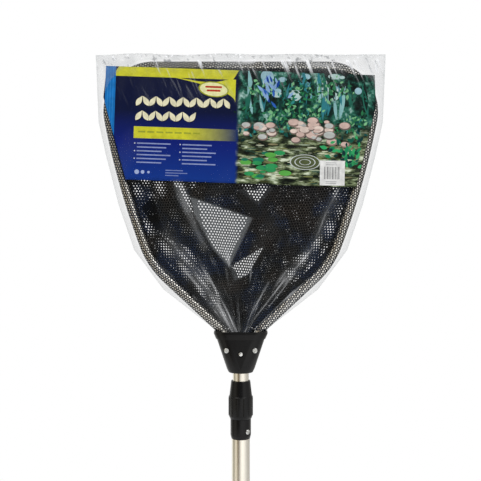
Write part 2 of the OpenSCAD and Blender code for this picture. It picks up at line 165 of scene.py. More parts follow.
# The header card and its print, and the side of the label in millimetres
CARD_TOP = 359 * MM
CARD_SIZE = (372 * MM, 154 * MM)
CARD_THICK = 0.5 * MM
CARD_TILT = radians(-2)
CARD_FRONT = -10.9 * MM
CARD_EDGE = ((-183, 0), (-186, -43), (-152, -154), (163, -154), (186, -43), (183, 0))
INK_LAYER = 0.004 * MM
LABEL_SIDE = 34


# ---- small helpers ----


def linear(hex_colour):
    """The linear RGBA value of an sRGB hex colour"""
    levels = [int(hex_colour[i:i + 2], 16) / 255 for i in (1, 3, 5)]
    return [c / 12.92 if c <= 0.04045 else ((c + 0.055) / 1.055) ** 2.4 for c in levels] + [1.0]


def per_metre(size_mm):
    """A texture scale that makes one cell of a pattern size_mm wide"""
    return 1000.0 / size_mm


def on_head(points):
    """Points of the head in millimetres as plane vectors in metres"""
    return [Vector(p) * MM for p in points]


def make_object(name, bm):
    """An object with the bmesh's shape, linked to the scene"""
    mesh = bpy.data.meshes.new(name)
    bm.to_mesh(mesh)
    bm.free()
    made = bpy.data.objects.new(name, mesh)
    bpy.context.scene.collection.objects.link(made)
    return made


def take_bmesh(mesh):
    """A bmesh with the shape of a mesh, which is removed"""
    bm = bmesh.new()
    bm.from_mesh(mesh)
    bpy.data.meshes.remove(mesh)
    return bm


def places(mesh):
    """X, Y and Z of the vertices of a mesh, as three arrays"""
    co = np.empty(len(mesh.vertices) * 3)
    mesh.vertices.foreach_get("co", co)
    return co.reshape(-1, 3).T


def put_places(mesh, x, y, z):
    """Moves the vertices of a mesh"""
    mesh.vertices.foreach_set("co", np.stack([x, y, z], 1).astype(np.float32).ravel())
    mesh.update()


def point_attribute(mesh, name, values):
    """Stores one number per vertex for the materials"""
    attribute = mesh.attributes.new(name, "FLOAT", "POINT")
    attribute.data.foreach_set("value", np.ascontiguousarray(values, np.float32))


def shade_smooth(mesh):
    mesh.polygons.foreach_set("use_smooth", np.ones(len(mesh.polygons), bool))


def finish_piece(made, body, slot, material, *replaced):
    """Gives a piece its material and its body, and hides the nodes that it stands for; slot is not used"""
    made.data.materials.clear()
    made.data.materials.append(material)
    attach(made, body)
    if replaced:
        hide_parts(*replaced)
    return made


def smooth_step(values, low, high):
    t = np.clip((values - low) / (high - low), 0, 1)
    return t * t * (3 - 2 * t)


def is_inside(x, z, outline):
    """Whether each point lies in the outline, by the even-odd rule"""
    found = np.zeros(len(x), bool)
    for a, b in zip(outline, outline[1:] + outline[:1]):
        crosses = (a.y > z) != (b.y > z)
        at = (b.x - a.x) * (z - a.y) / (b.y - a.y + 1e-12) + a.x
        found ^= crosses & (x < at)
    return found


def distance_to(x, z, line):
    """The least distance of each point from an open line of points"""
    least = np.full(len(x), 1e9)
    for a, b in zip(line, line[1:]):
        run = b - a
        t = np.clip(((x - a.x) * run.x + (z - a.y) * run.y) / run.length_squared, 0, 1)
        least = np.minimum(least, np.hypot(x - a.x - t * run.x, z - a.y - t * run.y))
    return least


def soft_noise(x, z, size, seed):
    """A smooth, seeded waviness of about -1 to 1 whose waves are size long"""
    rng = np.random.RandomState(seed)
    waves = [rng.uniform(low, high, 7) for low, high in ((0, pi), (0, 2 * pi), (0.7, 1.6))]
    total = np.zeros(len(x))
    for turn, phase, stretch in zip(*waves):
        total += np.sin((x * cos(turn) + z * sin(turn)) * 2 * pi * stretch / size + phase)
    return total / 3.5


# ---- lines that cloth and tape follow ----


class Line:
    """A line in the plane of the hoop that is followed by its length, with its normals to one side"""

    def __init__(self, points):
        self.points = np.array(points, float)
        steps = np.diff(self.points, axis=0)
        self.reach = np.concatenate([[0], np.cumsum(np.hypot(steps[:, 0], steps[:, 1]))])
        slope = np.gradient(self.points, self.reach, axis=0)
        slope /= np.linalg.norm(slope, axis=1)[:, None]
        self.normals = np.stack([-slope[:, 1], slope[:, 0]], 1)

    @property
    def length(self):
        return self.reach[-1]

    def at(self, s):
        """The points and normals at the distances s"""
        found = [np.interp(s, self.reach, column) for column in (*self.points.T, *self.normals.T)]
        return np.stack(found[:2], 1), np.stack(found[2:], 1)

    def beside(self, offset):
        """The same line moved along its normals"""
        return [Vector(p) for p in self.points + self.normals * offset]


def rounded_line(points, step=2 * MM):
    """A smooth line through a few points"""
    knots = np.array([points[0], *points, points[-1]], float)
    found = []
    for p0, p1, p2, p3 in zip(knots, knots[1:], knots[2:], knots[3:]):
        count = max(2, int(np.hypot(*(p2 - p1)) / step))
        for t in np.arange(count) / count:
            found.append(0.5 * (2 * p1 + (p2 - p0) * t + (2 * p0 - 5 * p1 + 4 * p2 - p3) * t**2
                                + (3 * p1 - 3 * p2 + p3 - p0) * t**3))
    return Line([*found, knots[-1]])


def hoop_line(step=3 * MM):
    """The hoop's centre line from inside the yoke up the left, over the top and down, with outward normals"""
    foot = ARM_FOOT - Vector((sin(ARM_ANGLE), cos(ARM_ANGLE))) * ARM_HIDDEN
    stations = [(foot, ARM_ANGLE)]

    def run(length, heading_after):
        at, heading = stations[-1]
        count = max(1, round(length / step))
        turn = (heading_after - heading) / count
        for _ in range(count):
            middle = heading + turn / 2
            at = at + Vector((sin(middle), cos(middle))) * length / count
            heading += turn
            stations.append((at, heading))

    run(ARM_LEN + ARM_HIDDEN, ARM_ANGLE)
    run(BEND_R * (ARM_ANGLE - SIDE_ANGLE), SIDE_ANGLE)
    run(SIDE_R * (SIDE_ANGLE - CORNER_ANGLE), CORNER_ANGLE)
    run(CORNER_R * (CORNER_ANGLE + pi / 2), -pi / 2)
    run(stations[-1][0].x, -pi / 2)
    right = [at for at, _ in stations]
    left = [Vector((-at.x, at.y)) for at in right[:-1]]
    return Line([*left, *reversed(right)])


HOOP = hoop_line()


# ---- materials ----


def fill_sockets(node, inputs):
    """Gives each named socket of a node its value, its hex colour or a link from an output"""
    for name, value in dict(inputs).items():
        if isinstance(value, bpy.types.NodeSocket):
            node.id_data.links.new(value, node.inputs[name])
        else:
            node.inputs[name].default_value = linear(value) if isinstance(value, str) else value


def add_node(tree, kind, inputs=(), stops=(), output=0, **settings):
    """Adds a shader node with its settings, links and colour stops, and gives one of its outputs"""
    made = tree.nodes.new("ShaderNode" + kind)
    for name, value in settings.items():
        setattr(made, name, value)
    fill_sockets(made, inputs)
    for i, (place, colour) in enumerate(stops):
        ramp = made.color_ramp.elements
        stop = ramp[i] if i < 2 else ramp.new(place)
        stop.position = place
        stop.color = linear(colour) if isinstance(colour, str) else (*colour, 1)
    return made.outputs[output]


def start_material(name, **values):
    """A material with its tree and its Principled shader, whose sockets hold these values"""
    made = bpy.data.materials.new(name)
    made.use_nodes = True
    shader = made.node_tree.nodes["Principled BSDF"]
    fill_sockets(shader, {socket.replace("_", " "): value for socket, value in values.items()})
    return made, made.node_tree, shader


def sized(tree, size_mm, stretch=(1, 1, 1)):
    """The sockets of a pattern on Object coordinates, stretched along the axes, with cells size_mm wide"""
    where = add_node(tree, "TexCoord", output="Object")
    stretched = add_node(tree, "Mapping", {"Vector": where, "Scale": stretch})
    return {"Vector": stretched, "Scale": per_metre(size_mm)}


def drawn_aluminium(name, colour, roughness):
    """Bright drawn aluminium tube: fine lines along the tube stretch its highlights"""
    made, tree, shader = start_material(name, Metallic=1.0, Roughness=roughness)
    # The real die lines are some hundredths of a millimetre apart; these are coarse enough to show.
    lines = add_node(tree, "TexNoise", {**sized(tree, 0.7, (1, 1, 0.004)), "Detail": 3.0})
    stains = add_node(tree, "TexNoise", {**sized(tree, 22, (1, 1, 0.3)), "Detail": 4.0})
    fill_sockets(shader, {
        "Base Color": add_node(tree, "Mix", {
            "Factor": stains, 6: colour, 7: "#F7F2E6"}, output=2, data_type="RGBA"),
        "Roughness": add_node(tree, "MapRange", {
            "Value": lines, "To Min": roughness - 0.05, "To Max": roughness + 0.08}),
        "Normal": add_node(tree, "Bump", {"Height": lines, "Strength": 0.12, "Distance": 0.02 * MM})})
    return made


def moulded_nylon(name, colour, roughness=0.3):
    """Injection-moulded glass-filled nylon: a fine eroded grain, dull with a soft sheen"""
    made, tree, shader = start_material(name, Roughness=roughness, IOR=1.32)
    # The mould's grain is about 0.1 mm; it is drawn at 0.6 mm so that it shows.
    grain = add_node(tree, "TexNoise", {**sized(tree, 0.6), "Detail": 2.0})
    flow = add_node(tree, "TexNoise", {**sized(tree, 14, (1, 1, 0.5)), "Detail": 4.0})
    fill_sockets(shader, {
        "Base Color": add_node(tree, "Mix", {
            "Factor": flow, 6: colour, 7: "#141415"}, output=2, data_type="RGBA"),
        "Roughness": add_node(tree, "MapRange", {
            "Value": flow, "To Min": roughness - 0.08, "To Max": roughness + 0.12}),
        "Normal": add_node(tree, "Bump", {"Height": grain, "Strength": 0.25, "Distance": 0.05 * MM})})
    return made


def zinc_plate(name):
    """Bright zinc plate on steel: a slightly cloudy, cool metal"""
    made, tree, shader = start_material(name, Metallic=1.0, Roughness=0.28)
    cloud = add_node(tree, "TexNoise", {**sized(tree, 1.8), "Detail": 3.0})
    fill_sockets(shader, {"Base Color": add_node(tree, "Mix", {
        "Factor": cloud, 6: "#C9CCCE", 7: "#F2F2EC"}, output=2, data_type="RGBA")})
    return made


def natural_nylon(name):
    """Uncoloured nylon: milky, lets a little light in"""
    made, tree, shader = start_material(
        name, Roughness=0.45, IOR=1.53, Subsurface_Weight=0.2, Subsurface_Scale=2 * MM)
    cloud = add_node(tree, "TexNoise", {**sized(tree, 9), "Detail": 3.0})
    fill_sockets(shader, {"Base Color": add_node(tree, "Mix", {
        "Factor": cloud, 6: "#D9D4C4", 7: "#ECE8DC"}, output=2, data_type="RGBA")})
    return made


def foam_rubber(name):
    """Closed-cell foam rubber: matt black with fine open pores"""
    made, tree, shader = start_material(name, Roughness=0.82, IOR=1.45)
    pores = add_node(tree, "TexVoronoi", sized(tree, 0.9), output="Distance")
    fill_sockets(shader, {
        "Base Color": add_node(tree, "ValToRGB", {"Fac": pores}, ((0.1, "#101011"), (0.7, "#232324"))),
        "Normal": add_node(tree, "Bump", {"Height": pores, "Strength": 0.5, "Distance": 0.15 * MM})})
    return made


def coated_netting(name, colour, painted_crest_highlight=5.0, ior=1.28):
    """Knitted polyester netting with a soft rubber coat: black with bluish patches, with a painted highlight
    along the crests of its threads and painted shade at the rims of its holes
    """
    made, tree, shader = start_material(
        name, Roughness=0.3, IOR=ior, Sheen_Weight=0.02, Sheen_Roughness=0.5)
    patches = add_node(tree, "TexNoise", {**sized(tree, 38), "Detail": 5.0})
    tint = add_node(tree, "ValToRGB", {"Fac": patches}, (
        (0.4, "#060E1C"), (0.66, "#110E0B"), (0.52, colour)))
    # The crest attribute lightens the colour along the middle of each thread as a painted highlight and
    # darkens it at the rims of the holes as painted shade.
    painted_crest_light = add_node(tree, "MapRange", {
        "Value": add_node(tree, "Attribute", output="Fac", attribute_name="crest"),
        "To Min": 0.1, "To Max": painted_crest_highlight})
    stitches = add_node(tree, "TexNoise", {**sized(tree, 1.1), "Detail": 2.0})
    fill_sockets(shader, {
        "Base Color": add_node(tree, "Mix", {
            "Factor": 1.0, 6: tint, 7: painted_crest_light}, output=2, data_type="RGBA", blend_type="MULTIPLY"),
        "Normal": add_node(tree, "Bump", {"Height": stitches, "Strength": 1.0, "Distance": 0.7 * MM})})
    return made


def woven_tape(name, colour):
    """Woven polypropylene binding: ribs across the tape, dull black"""
    made, tree, shader = start_material(name, Roughness=0.75, IOR=1.33, Sheen_Weight=0.06)
    where = add_node(tree, "UVMap", uv_map="along")
    # The ribs of the weave are 0.8 mm apart; they are drawn as soft bands 10 mm apart so that they show.
    ribs = add_node(tree, "TexWave", {
        "Vector": where, "Scale": 31.25, "Distortion": 0.6}, output="Fac", bands_direction="X")
    fill_sockets(shader, {
        "Base Color": add_node(tree, "Mix", {
            "Factor": ribs, 6: "#040506", 7: colour}, output=2, data_type="RGBA"),
        "Normal": add_node(tree, "Bump", {"Height": ribs, "Strength": 0.6, "Distance": 0.2 * MM})})
    return made


def printed_card(name):
    """Coated card: navy to royal blue on the left, a blur of leaf greens and water browns on the right"""
    made, tree, shader = start_material(name, Roughness=0.5, IOR=1.2)
    place = add_node(tree, "SeparateXYZ", {0: add_node(tree, "UVMap", uv_map="print")}).node.outputs
    ground = add_node(tree, "ValToRGB", {"Fac": place["Y"]}, (
        (0.0, "#08368E"), (1.0, "#030C34"), (0.34, "#041C76"), (0.62, "#030F38")))
    foliage = add_node(tree, "TexNoise", {**sized(tree, 16), "Detail": 7.0, "Roughness": 0.68})
    leaves = add_node(tree, "ValToRGB", {"Fac": foliage}, (
        (0.36, "#020C0A"), (0.68, "#B4D6D0"), (0.47, "#0C2E28"), (0.57, "#2E7460")))
    ripples = add_node(tree, "TexNoise", {**sized(tree, 9, (0.45, 1, 1.3)), "Detail": 6.0, "Roughness": 0.6})
    water = add_node(tree, "ValToRGB", {"Fac": ripples}, (
        (0.39, "#080F08"), (0.64, "#DCE6CC"), (0.48, "#36402A"), (0.56, "#84926A")))
    shore, side = [
        add_node(tree, "MapRange", {
            "Value": place[axis], "From Min": low, "From Max": high}, interpolation_type="SMOOTHSTEP")
        for axis, low, high in (("Y", 0.36, 0.58), ("X", 0.488, 0.505))]
    picture = add_node(tree, "Mix", {"Factor": shore, 6: water, 7: leaves}, output=2, data_type="RGBA")
    both = add_node(tree, "Mix", {"Factor": side, 6: ground, 7: picture}, output=2, data_type="RGBA")
    fill_sockets(shader, {"Base Color": both})
    return made


def printing_ink(name):
    """Offset ink on coated card: each printed shape has its own colour, a little uneven"""
    made, tree, shader = start_material(name, Roughness=0.5, IOR=1.2)
    ink = add_node(tree, "Attribute", output="Color", attribute_name="ink")
    uneven = add_node(tree, "TexNoise", {**sized(tree, 7), "Detail": 5.0})
    light = add_node(tree, "MapRange", {
        "Value": uneven, "From Min": 0.3, "From Max": 0.7, "To Min": 0.82, "To Max": 1.08})
    fill_sockets(shader, {"Base Color": add_node(tree, "Mix", {
        "Factor": 1.0, 6: ink, 7: light}, output=2, data_type="RGBA", blend_type="MULTIPLY")})
    return made


def clear_film(name):
    """Clear polyethylene film: see-through, milky where it is loose, with painted white highlights along its
    creases and folds and in a few slanted glare streaks
    """
    made, tree, shader = start_material(name, Roughness=0.3, IOR=1.45)
    haze, crease_glint, crumple = [
        add_node(tree, "Attribute", output="Fac", attribute_name=part)
        for part in ("haze", "crease_glint", "crumple")]
    where = add_node(tree, "TexCoord", output="Object")
    split = add_node(tree, "SeparateXYZ", {0: where}).node.outputs
    # Painted highlights along fine folds fan out from the yoke, where the bag is gathered. The noise reads
    # angle and distance.
    gathered = HEAD_Z - FILM_GATHER
    rise = add_node(tree, "Math", {0: split["Z"], 1: gathered}, operation="SUBTRACT")
    turn = add_node(tree, "Math", {0: split["X"], 1: rise}, operation="ARCTAN2")
    far = add_node(tree, "VectorMath", {0: where, 1: (0, 0, gathered)}, output="Value", operation="DISTANCE")
    run = add_node(tree, "Math", {0: far, 1: 0.9}, operation="MULTIPLY")
    polar = add_node(tree, "CombineXYZ", {"X": turn, "Y": run})
    fan = add_node(tree, "TexNoise", {"Vector": polar, "Scale": 16.0, "Detail": 3.0})
    lines = add_node(tree, "ValToRGB", {"Fac": fan}, (
        (0.5, (0, 0, 0)), (0.74, (1, 1, 1)), (0.6, (0.06, 0.06, 0.06)), (0.66, (0.5, 0.5, 0.5))))
    near = add_node(tree, "MapRange", {
        "Value": far, "From Min": 30 * MM, "From Max": 170 * MM, "To Min": 0.55, "To Max": 0.0})
    folds = add_node(tree, "Math", {0: lines, 1: near}, operation="MULTIPLY")
    # Over the empty film above the hoop, soft upright bands of painted sheen stand for its wrinkles, crossed
    # by a few slanted painted glare streaks.
    upright = add_node(tree, "TexNoise", {**sized(tree, 26, (1, 1, 0.45)), "Detail": 1.0})
    soft = add_node(tree, "MapRange", {
        "Value": upright, "From Min": 0.45, "From Max": 0.7}, interpolation_type="SMOOTHSTEP")
    slanted = add_node(tree, "Mapping", {
        "Vector": where, "Rotation": (0, radians(-24), 0), "Scale": (1, 1, 9)}, vector_type="TEXTURE")
    marks = add_node(tree, "TexNoise", {"Vector": slanted, "Scale": per_metre(5), "Detail": 1.0})
    glare_streak = add_node(tree, "MapRange", {"Value": marks, "From Min": 0.6, "From Max": 0.72})
    glare_streaks, wrinkles = [
        add_node(tree, "Math", {
            0: mark, 1: add_node(tree, "Math", {0: crumple, 1: strength}, operation="MULTIPLY")},
            operation="MULTIPLY")
        for mark, strength in ((glare_streak, 0.8), (soft, 0.12))]
    # The crease attribute, the fold lines and the glare streaks are painted highlights: they make the film
    # whiter and less see-through.
    white = add_node(tree, "Math", {0: crease_glint, 1: folds}, operation="ADD")
    bright = add_node(tree, "Math", {0: white, 1: glare_streaks}, operation="ADD")
    # The haze attribute carries the film's own haze together with painted sheen; the wrinkle bands add more
    # painted sheen.
    milky = add_node(tree, "Math", {0: haze, 1: wrinkles}, operation="ADD")
    cover = add_node(tree, "Math", {0: milky, 1: bright}, operation="ADD", use_clamp=True)
    share = add_node(tree, "Math", {0: bright, 1: 4.0}, operation="MULTIPLY", use_clamp=True)
    fill_sockets(shader, {"Base Color": add_node(tree, "Mix", {
        "Factor": share, 6: "#B4B9BC", 7: "#FAFCFF"}, output=2, data_type="RGBA")})
    fill_sockets(tree.nodes["Material Output"], {"Surface": add_node(tree, "MixShader", {
        0: cover, 1: add_node(tree, "BsdfTransparent"), 2: shader.outputs[0]})})
    return made


def studio_floor(name):
    """Matt white floor, white to the camera apart from the object's shadow"""
    made, tree, shader = start_material(name, Roughness=0.9, Base_Color="#E6E6E6")
    rays = add_node(tree, "LightPath").node.outputs
    seen = add_node(tree, "Math", {0: rays["Is Camera Ray"], 1: rays["Is Glossy Ray"]}, operation="MAXIMUM")
    strength = add_node(tree, "Math", {0: seen, 1: 0.3}, operation="MULTIPLY")
    glow = add_node(tree, "Emission", {"Color": (1, 1, 1, 1), "Strength": strength})
    fill_sockets(tree.nodes["Material Output"], {
        "Surface": add_node(tree, "AddShader", {0: shader.outputs[0], 1: glow})})
    return made


# ---- rigid pieces ----


def dress(node, name, slot, material, edge=0.35 * MM):
    """A merged, smoothly shaded copy of a CAD node with its sharp edges eased, which replaces it"""
    bm = bmesh.new()
    bm.from_mesh(frame["nodes"][node].data)
    bmesh.ops.remove_doubles(bm, verts=bm.verts[:], dist=0.005 * MM)
    bmesh.ops.dissolve_limit(bm, angle_limit=radians(0.6), verts=bm.verts[:], edges=bm.edges[:])
    for line in bm.edges:
        line.smooth = line.calc_face_angle(pi) < radians(32)
    for face in bm.faces:
        face.smooth = True
    made = make_object(name, bm)
    if edge:
        bevel = made.modifiers.new("eased edges", "BEVEL")
        bevel.width = edge
        bevel.segments = 2
        bevel.limit_method = "ANGLE"
        bevel.angle_limit = radians(40)
        bevel.harden_normals = True
    return finish_piece(made, frame["nodes"][node]["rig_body"], slot, material, node)


class NetSettings(bpy.types.PropertyGroup):
    """Sizes and colours of the hoop's netting and tapes"""

    pitch: FloatProperty(
        name="Mesh pitch", description="Distance between two holes of the netting",
        default=4.5 * MM, min=2 * MM, max=20 * MM, unit="LENGTH")
    hole: FloatProperty(
        name="Hole radius", description="Corner radius of a hole in the netting",
        default=1.3 * MM, min=0.5 * MM, max=9 * MM, unit="LENGTH")
    tape: FloatProperty(
        name="Hem tape width", description="Width of the binding tape along the hoop's arms",
        default=9 * MM, min=4 * MM, max=9.5 * MM, unit="LENGTH")
    colour: StringProperty(
        name="Netting colour", description="sRGB hex colour of the netting", default="#090A0B")
    tape_colour: StringProperty(
        name="Tape colour", description="sRGB hex colour of the binding tapes", default="#101113")


class PoleSettings(bpy.types.PropertyGroup):
    """Sizes and colours of the pole, its grip and the moulded parts"""

    rib_pitch: FloatProperty(
        name="Grip rib pitch", description="Distance between two ribs of the hand grip",
        default=7 * MM, min=3 * MM, max=20 * MM, unit="LENGTH")
    rib_depth: FloatProperty(
        name="Grip groove depth", description="Depth of the grooves between the grip's ribs",
        default=0.9 * MM, min=0.0, max=1.4 * MM, unit="LENGTH")
    metal: StringProperty(
        name="Tube colour", description="sRGB hex colour of the aluminium tubes", default="#E6E2D8")
    moulding: StringProperty(
        name="Moulding colour", description="sRGB hex colour of the black mouldings", default="#0A0A0B")


class PackingSettings(bpy.types.PropertyGroup):
    """Sizes and colours of the film bag, its card and the label"""

    haze: FloatProperty(
        name="Film haze", description="How much a single sheet of film hides",
        default=0.004, min=0.0, max=1.0, subtype="FACTOR")
    loose_haze: FloatProperty(
        name="Loose haze", description="How much the loose film outside the hoop hides",
        default=0.15, min=0.0, max=1.0, subtype="FACTOR")
    wrinkle: FloatProperty(
        name="Wrinkle depth", description="Height of the film's wrinkles",
        default=1.1 * MM, min=0.0, max=3 * MM, unit="LENGTH")
    bars: IntProperty(
        name="Label bars", description="Number of plain bars on the label", default=12, min=0, max=30)
    lime: StringProperty(
        name="Band colour", description="sRGB hex colour of the card's light bands", default="#D6D432")


class StageSettings(bpy.types.PropertyGroup):
    """The camera's place and the strength of the studio light"""

    distance: FloatProperty(
        name="Camera distance", description="Distance of the camera from the hoop's plane",
        default=0.966, min=0.3, max=10.0, unit="LENGTH")
    aim: FloatProperty(
        name="Camera height", description="Height of the camera above the head's lip plane",
        default=127 * MM, unit="LENGTH")
    field: FloatProperty(
        name="Field", description="Width of what the camera sees in the hoop's plane",
        default=663.8 * MM, min=0.05, unit="LENGTH")
    lamps: FloatProperty(
        name="Lamp power", description="Power of each large soft lamp",
        default=9.0, min=0.0, unit="POWER")
    fill: FloatProperty(
        name="Fill light", description="Strength of the even light from all round",
        default=0.7, min=0.0)


class NET_OT_pole(bpy.types.Operator):
    """Dress the two pole tubes"""

    bl_idname = "skimmer_net.pole"
    bl_label = "Pole Tubes"

    def execute(self, context):
        metal = drawn_aluminium("drawn_aluminium", context.scene.net_pole.metal, 0.24)
        dress("outer_tube", "pole_outer_stage", "pole_aluminium", metal, 0)
        dress("inner_tube", "pole_inner_stage", "pole_aluminium", metal, 0)
        return {"FINISHED"}


class NET_OT_grip(bpy.types.Operator):
    """Make the ribbed hand grip and dress the end cap"""

    bl_idname = "skimmer_net.grip"
    bl_label = "Hand Grip"

    def execute(self, context):
        sizes = context.scene.net_pole
        low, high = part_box("hand_grip")
        radius = high.x
        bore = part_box("outer_tube")[1].x + 0.05 * MM
        ribs = int((high.z - low.z - 16 * MM) / sizes.rib_pitch)
        start = (low.z + high.z) / 2 - ribs * sizes.rib_pitch / 2
        # Each end is rounded: how far in from the side and from the end its corners lie
        corners = ((radius - bore, 0), (2.4 * MM, 0), (0.8 * MM, 0.8 * MM), (0, 2.6 * MM))
        profile = [(radius - inward, low.z + rise) for inward, rise in corners]
        for i in range(ribs):
            z = start + i * sizes.rib_pitch
            for rise, share in ((0.5, 0), (1.1, 0.7), (1.8, 1), (2.5, 0.7), (3.1, 0)):
                profile.append((radius - share * sizes.rib_depth, z + rise * MM))
        profile += [(radius - inward, high.z - rise) for inward, rise in reversed(corners)]
        bm = bmesh.new()
        ring = [bm.verts.new((r, 0, z)) for r, z in profile]
        edges = [bm.edges.new(pair) for pair in zip(ring, ring[1:] + ring[:1])]
        bmesh.ops.spin(
            bm, geom=ring + edges, cent=(0, 0, 0), axis=(0, 0, 1), angle=2 * pi, steps=72, use_merge=True)
        bmesh.ops.recalc_face_normals(bm, faces=bm.faces[:])
        made = make_object("ribbed_hand_grip", bm)
        shade_smooth(made.data)
        finish_piece(made, "handle", "grip_rubber", foam_rubber("foam_rubber"), "hand_grip")
        black = moulded_nylon("moulded_nylon_cap", sizes.moulding)
        dress("end_cap", "hanging_end_cap", "black_plastic", black)
        return {"FINISHED"}


class NET_OT_lock(bpy.types.Operator):
    """Dress the twist lock and the pieces inside it"""

    bl_idname = "skimmer_net.lock"
    bl_label = "Twist Lock"

    def execute(self, context):
        black = moulded_nylon("moulded_nylon_lock", context.scene.net_pole.moulding, 0.24)
        dress("collet_body", "lock_sleeve", "black_plastic", black)
        dress("lock_nut", "twist_nut", "black_plastic", black)
        nylon = natural_nylon("natural_nylon")
        dress("wedge_ring", "clamping_wedge", "nylon", nylon, 0)
        dress("guide_bush", "tube_guide", "nylon", nylon)
        dress("collar_screw", "sleeve_screw", "fastener_steel", zinc_plate("zinc_plate_lock"), 0.15 * MM)
        return {"FINISHED"}


class NET_OT_yoke(bpy.types.Operator):
    """Dress the moulded yoke, its two screws and its rivet"""

    bl_idname = "skimmer_net.yoke"
    bl_label = "Yoke"

    def execute(self, context):
        black = moulded_nylon("moulded_nylon_yoke", context.scene.net_pole.moulding)
        dress("yoke_front", "yoke_front_half", "black_plastic", black, 0.6 * MM)
        dress("yoke_back", "yoke_back_half", "black_plastic", black, 0.6 * MM)
        steel = zinc_plate("zinc_plate_yoke")
        dress("yoke_screws", "clamp_screws", "fastener_steel", steel, 0.15 * MM)
        dress("pole_rivet", "dome_rivet", "fastener_steel", steel, 0)
        return {"FINISHED"}


class NET_OT_hoop(bpy.types.Operator):
    """Dress the bent hoop tube"""

    bl_idname = "skimmer_net.hoop"
    bl_label = "Hoop"

    def execute(self, context):
        metal = drawn_aluminium("drawn_aluminium_hoop", "#F2F2F0", 0.34)
        dress("hoop_tube", "bent_hoop_tube", "hoop_aluminium", metal, 0)
        return {"FINISHED"}


# ---- netting ----


def knit(width, height, pitch, hole):
    """A flat piece of hexagonal netting in the XZ plane, with its middle at the origin"""
    row = pitch * sqrt(3) / 2
    stand = Matrix.Rotation(pi / 2, 4, "X")
    cell = bmesh.new()
    for x, z in ((0, 0), (pitch / 2, row)):
        bmesh.ops.create_circle(
            cell, cap_ends=True, radius=pitch / sqrt(3), segments=6,
            matrix=Matrix.Translation((x, 0, z)) @ stand)
    strand = (pitch / sqrt(3) - hole) * sqrt(3) / 2
    crests = cell.verts[:]
    rims = set(bmesh.ops.inset_individual(
        cell, faces=cell.faces[:], thickness=strand, use_even_offset=True)["faces"])
    # A thread is thickest along its middle.
    for vert in crests:
        vert.co.y = -0.45 * strand
    bmesh.ops.delete(cell, geom=[f for f in cell.faces if f not in rims], context="FACES_ONLY")
    across, up = ceil(width / pitch), ceil(height / row / 2)
    unit = make_object("knit_unit", cell)
    for axis, step, count in ((0, pitch, across), (2, 2 * row, up)):
        repeat = unit.modifiers.new("repeat", "ARRAY")
        repeat.use_relative_offset = False
        repeat.use_constant_offset = True
        repeat.constant_offset_displace = [step if i == axis else 0 for i in range(3)]
        repeat.count = count
    mesh = bpy.data.meshes.new_from_object(unit.evaluated_get(bpy.context.evaluated_depsgraph_get()))
    bpy.data.objects.remove(unit)
    x, y, z = places(mesh)
    put_places(mesh, x - across * pitch / 2, y, z - up * row)
    return mesh


def mark_crests(mesh, relief):
    """Tells the material where the threads stand highest, from their relief in Y, for its painted highlight
    on the crests and painted shade at the rims
    """
    point_attribute(mesh, "crest", relief / relief.min())


def trim(bm, outline, keep_inside=True, straight=True):
    """Removes the part of a flat mesh on the wrong side of an outline

    straight first cuts the faces along the outline; without it they are kept or lost whole.
    """
    margin = 5 * MM
    if straight:
        for a, b in zip(outline, outline[1:] + outline[:1]):
            low, high = min(a.y, b.y) - margin, max(a.y, b.y) + margin
            left, right = min(a.x, b.x) - margin, max(a.x, b.x) + margin
            near = [f for f in bm.faces if low < f.verts[0].co.z < high and left < f.verts[0].co.x < right]
            verts, edges = {v for f in near for v in f.verts}, {e for f in near for e in f.edges}
            bmesh.ops.bisect_plane(
                bm, geom=[*near, *verts, *edges], dist=0.001 * MM,
                plane_co=(a.x, 0, a.y), plane_no=(b.y - a.y, 0, a.x - b.x))
    centres = np.array([f.calc_center_median() for f in bm.faces])
    lost = is_inside(centres[:, 0], centres[:, 2], outline) != keep_inside
    bmesh.ops.delete(bm, geom=[f for f, out in zip(bm.faces[:], lost) if out], context="FACES")


def around_yoke(x, z):
    """The distance and the angle of points from where the netting is gathered in the yoke"""
    return np.hypot(x, z + NET_GATHER), np.arctan2(x, z + NET_GATHER)


def netting(name, pitch, hole, outline, turn, depth, stretch, holes, clean_edge):
    """A layer of the folded net: gathered towards the yoke, trimmed and laid at depth(x, z)

    stretch draws the netting long in its own direction, which narrows its meshes.
    """
    xs, zs = [p.x for p in outline], [p.y for p in outline]
    middle = ((min(xs) + max(xs)) / 2, (min(zs) + max(zs)) / 2)
    reach = 1.5 * max(max(xs) - min(xs), max(zs) - min(zs))
    spread = reach * (1.5 if min(zs) < 60 * MM else 1)
    mesh = knit(spread / stretch, reach, pitch, hole)
    across, relief, up = places(mesh)
    across = across * stretch
    x = across * cos(turn) - up * sin(turn) + middle[0]
    z = across * sin(turn) + up * cos(turn) + middle[1]
    # The netting is drawn together towards the yoke, and its rows waver where it is bunched.
    x *= 0.42 + 0.58 * smooth_step(z, -10 * MM, 190 * MM)
    far, fan = around_yoke(x, z)
    fan += (0.022 * np.sin(fan * 19 + turn * 9) + 0.012 * np.sin(fan * 43)) * np.exp(-far / (110 * MM))
    put_places(mesh, far * np.sin(fan), relief, far * np.cos(fan) - NET_GATHER)
    bm = take_bmesh(mesh)
    trim(bm, outline, straight=False)
    bmesh.ops.remove_doubles(bm, verts=bm.verts[:], dist=MERGE)
    if clean_edge:
        trim(bm, outline)
    for opening in holes:
        trim(bm, on_head(opening), keep_inside=False)
    made = make_object(name, bm)
    x, relief, z = places(made.data)
    mark_crests(made.data, relief)
    put_places(made.data, x, relief + depth(x, z), z + HEAD_Z)
    shade_smooth(made.data)
    return made


def pleats(x, z, seed):
    """Folds that fan out from the yoke and fade with the distance, about -1 to 1"""
    far, fan = around_yoke(x, z)
    waves = np.sin(fan * 21 + 0.8 * seed) + 0.6 * np.sin(fan * 37 + 2.1 * seed)
    return waves / 1.6 * np.exp(-far / (95 * MM))


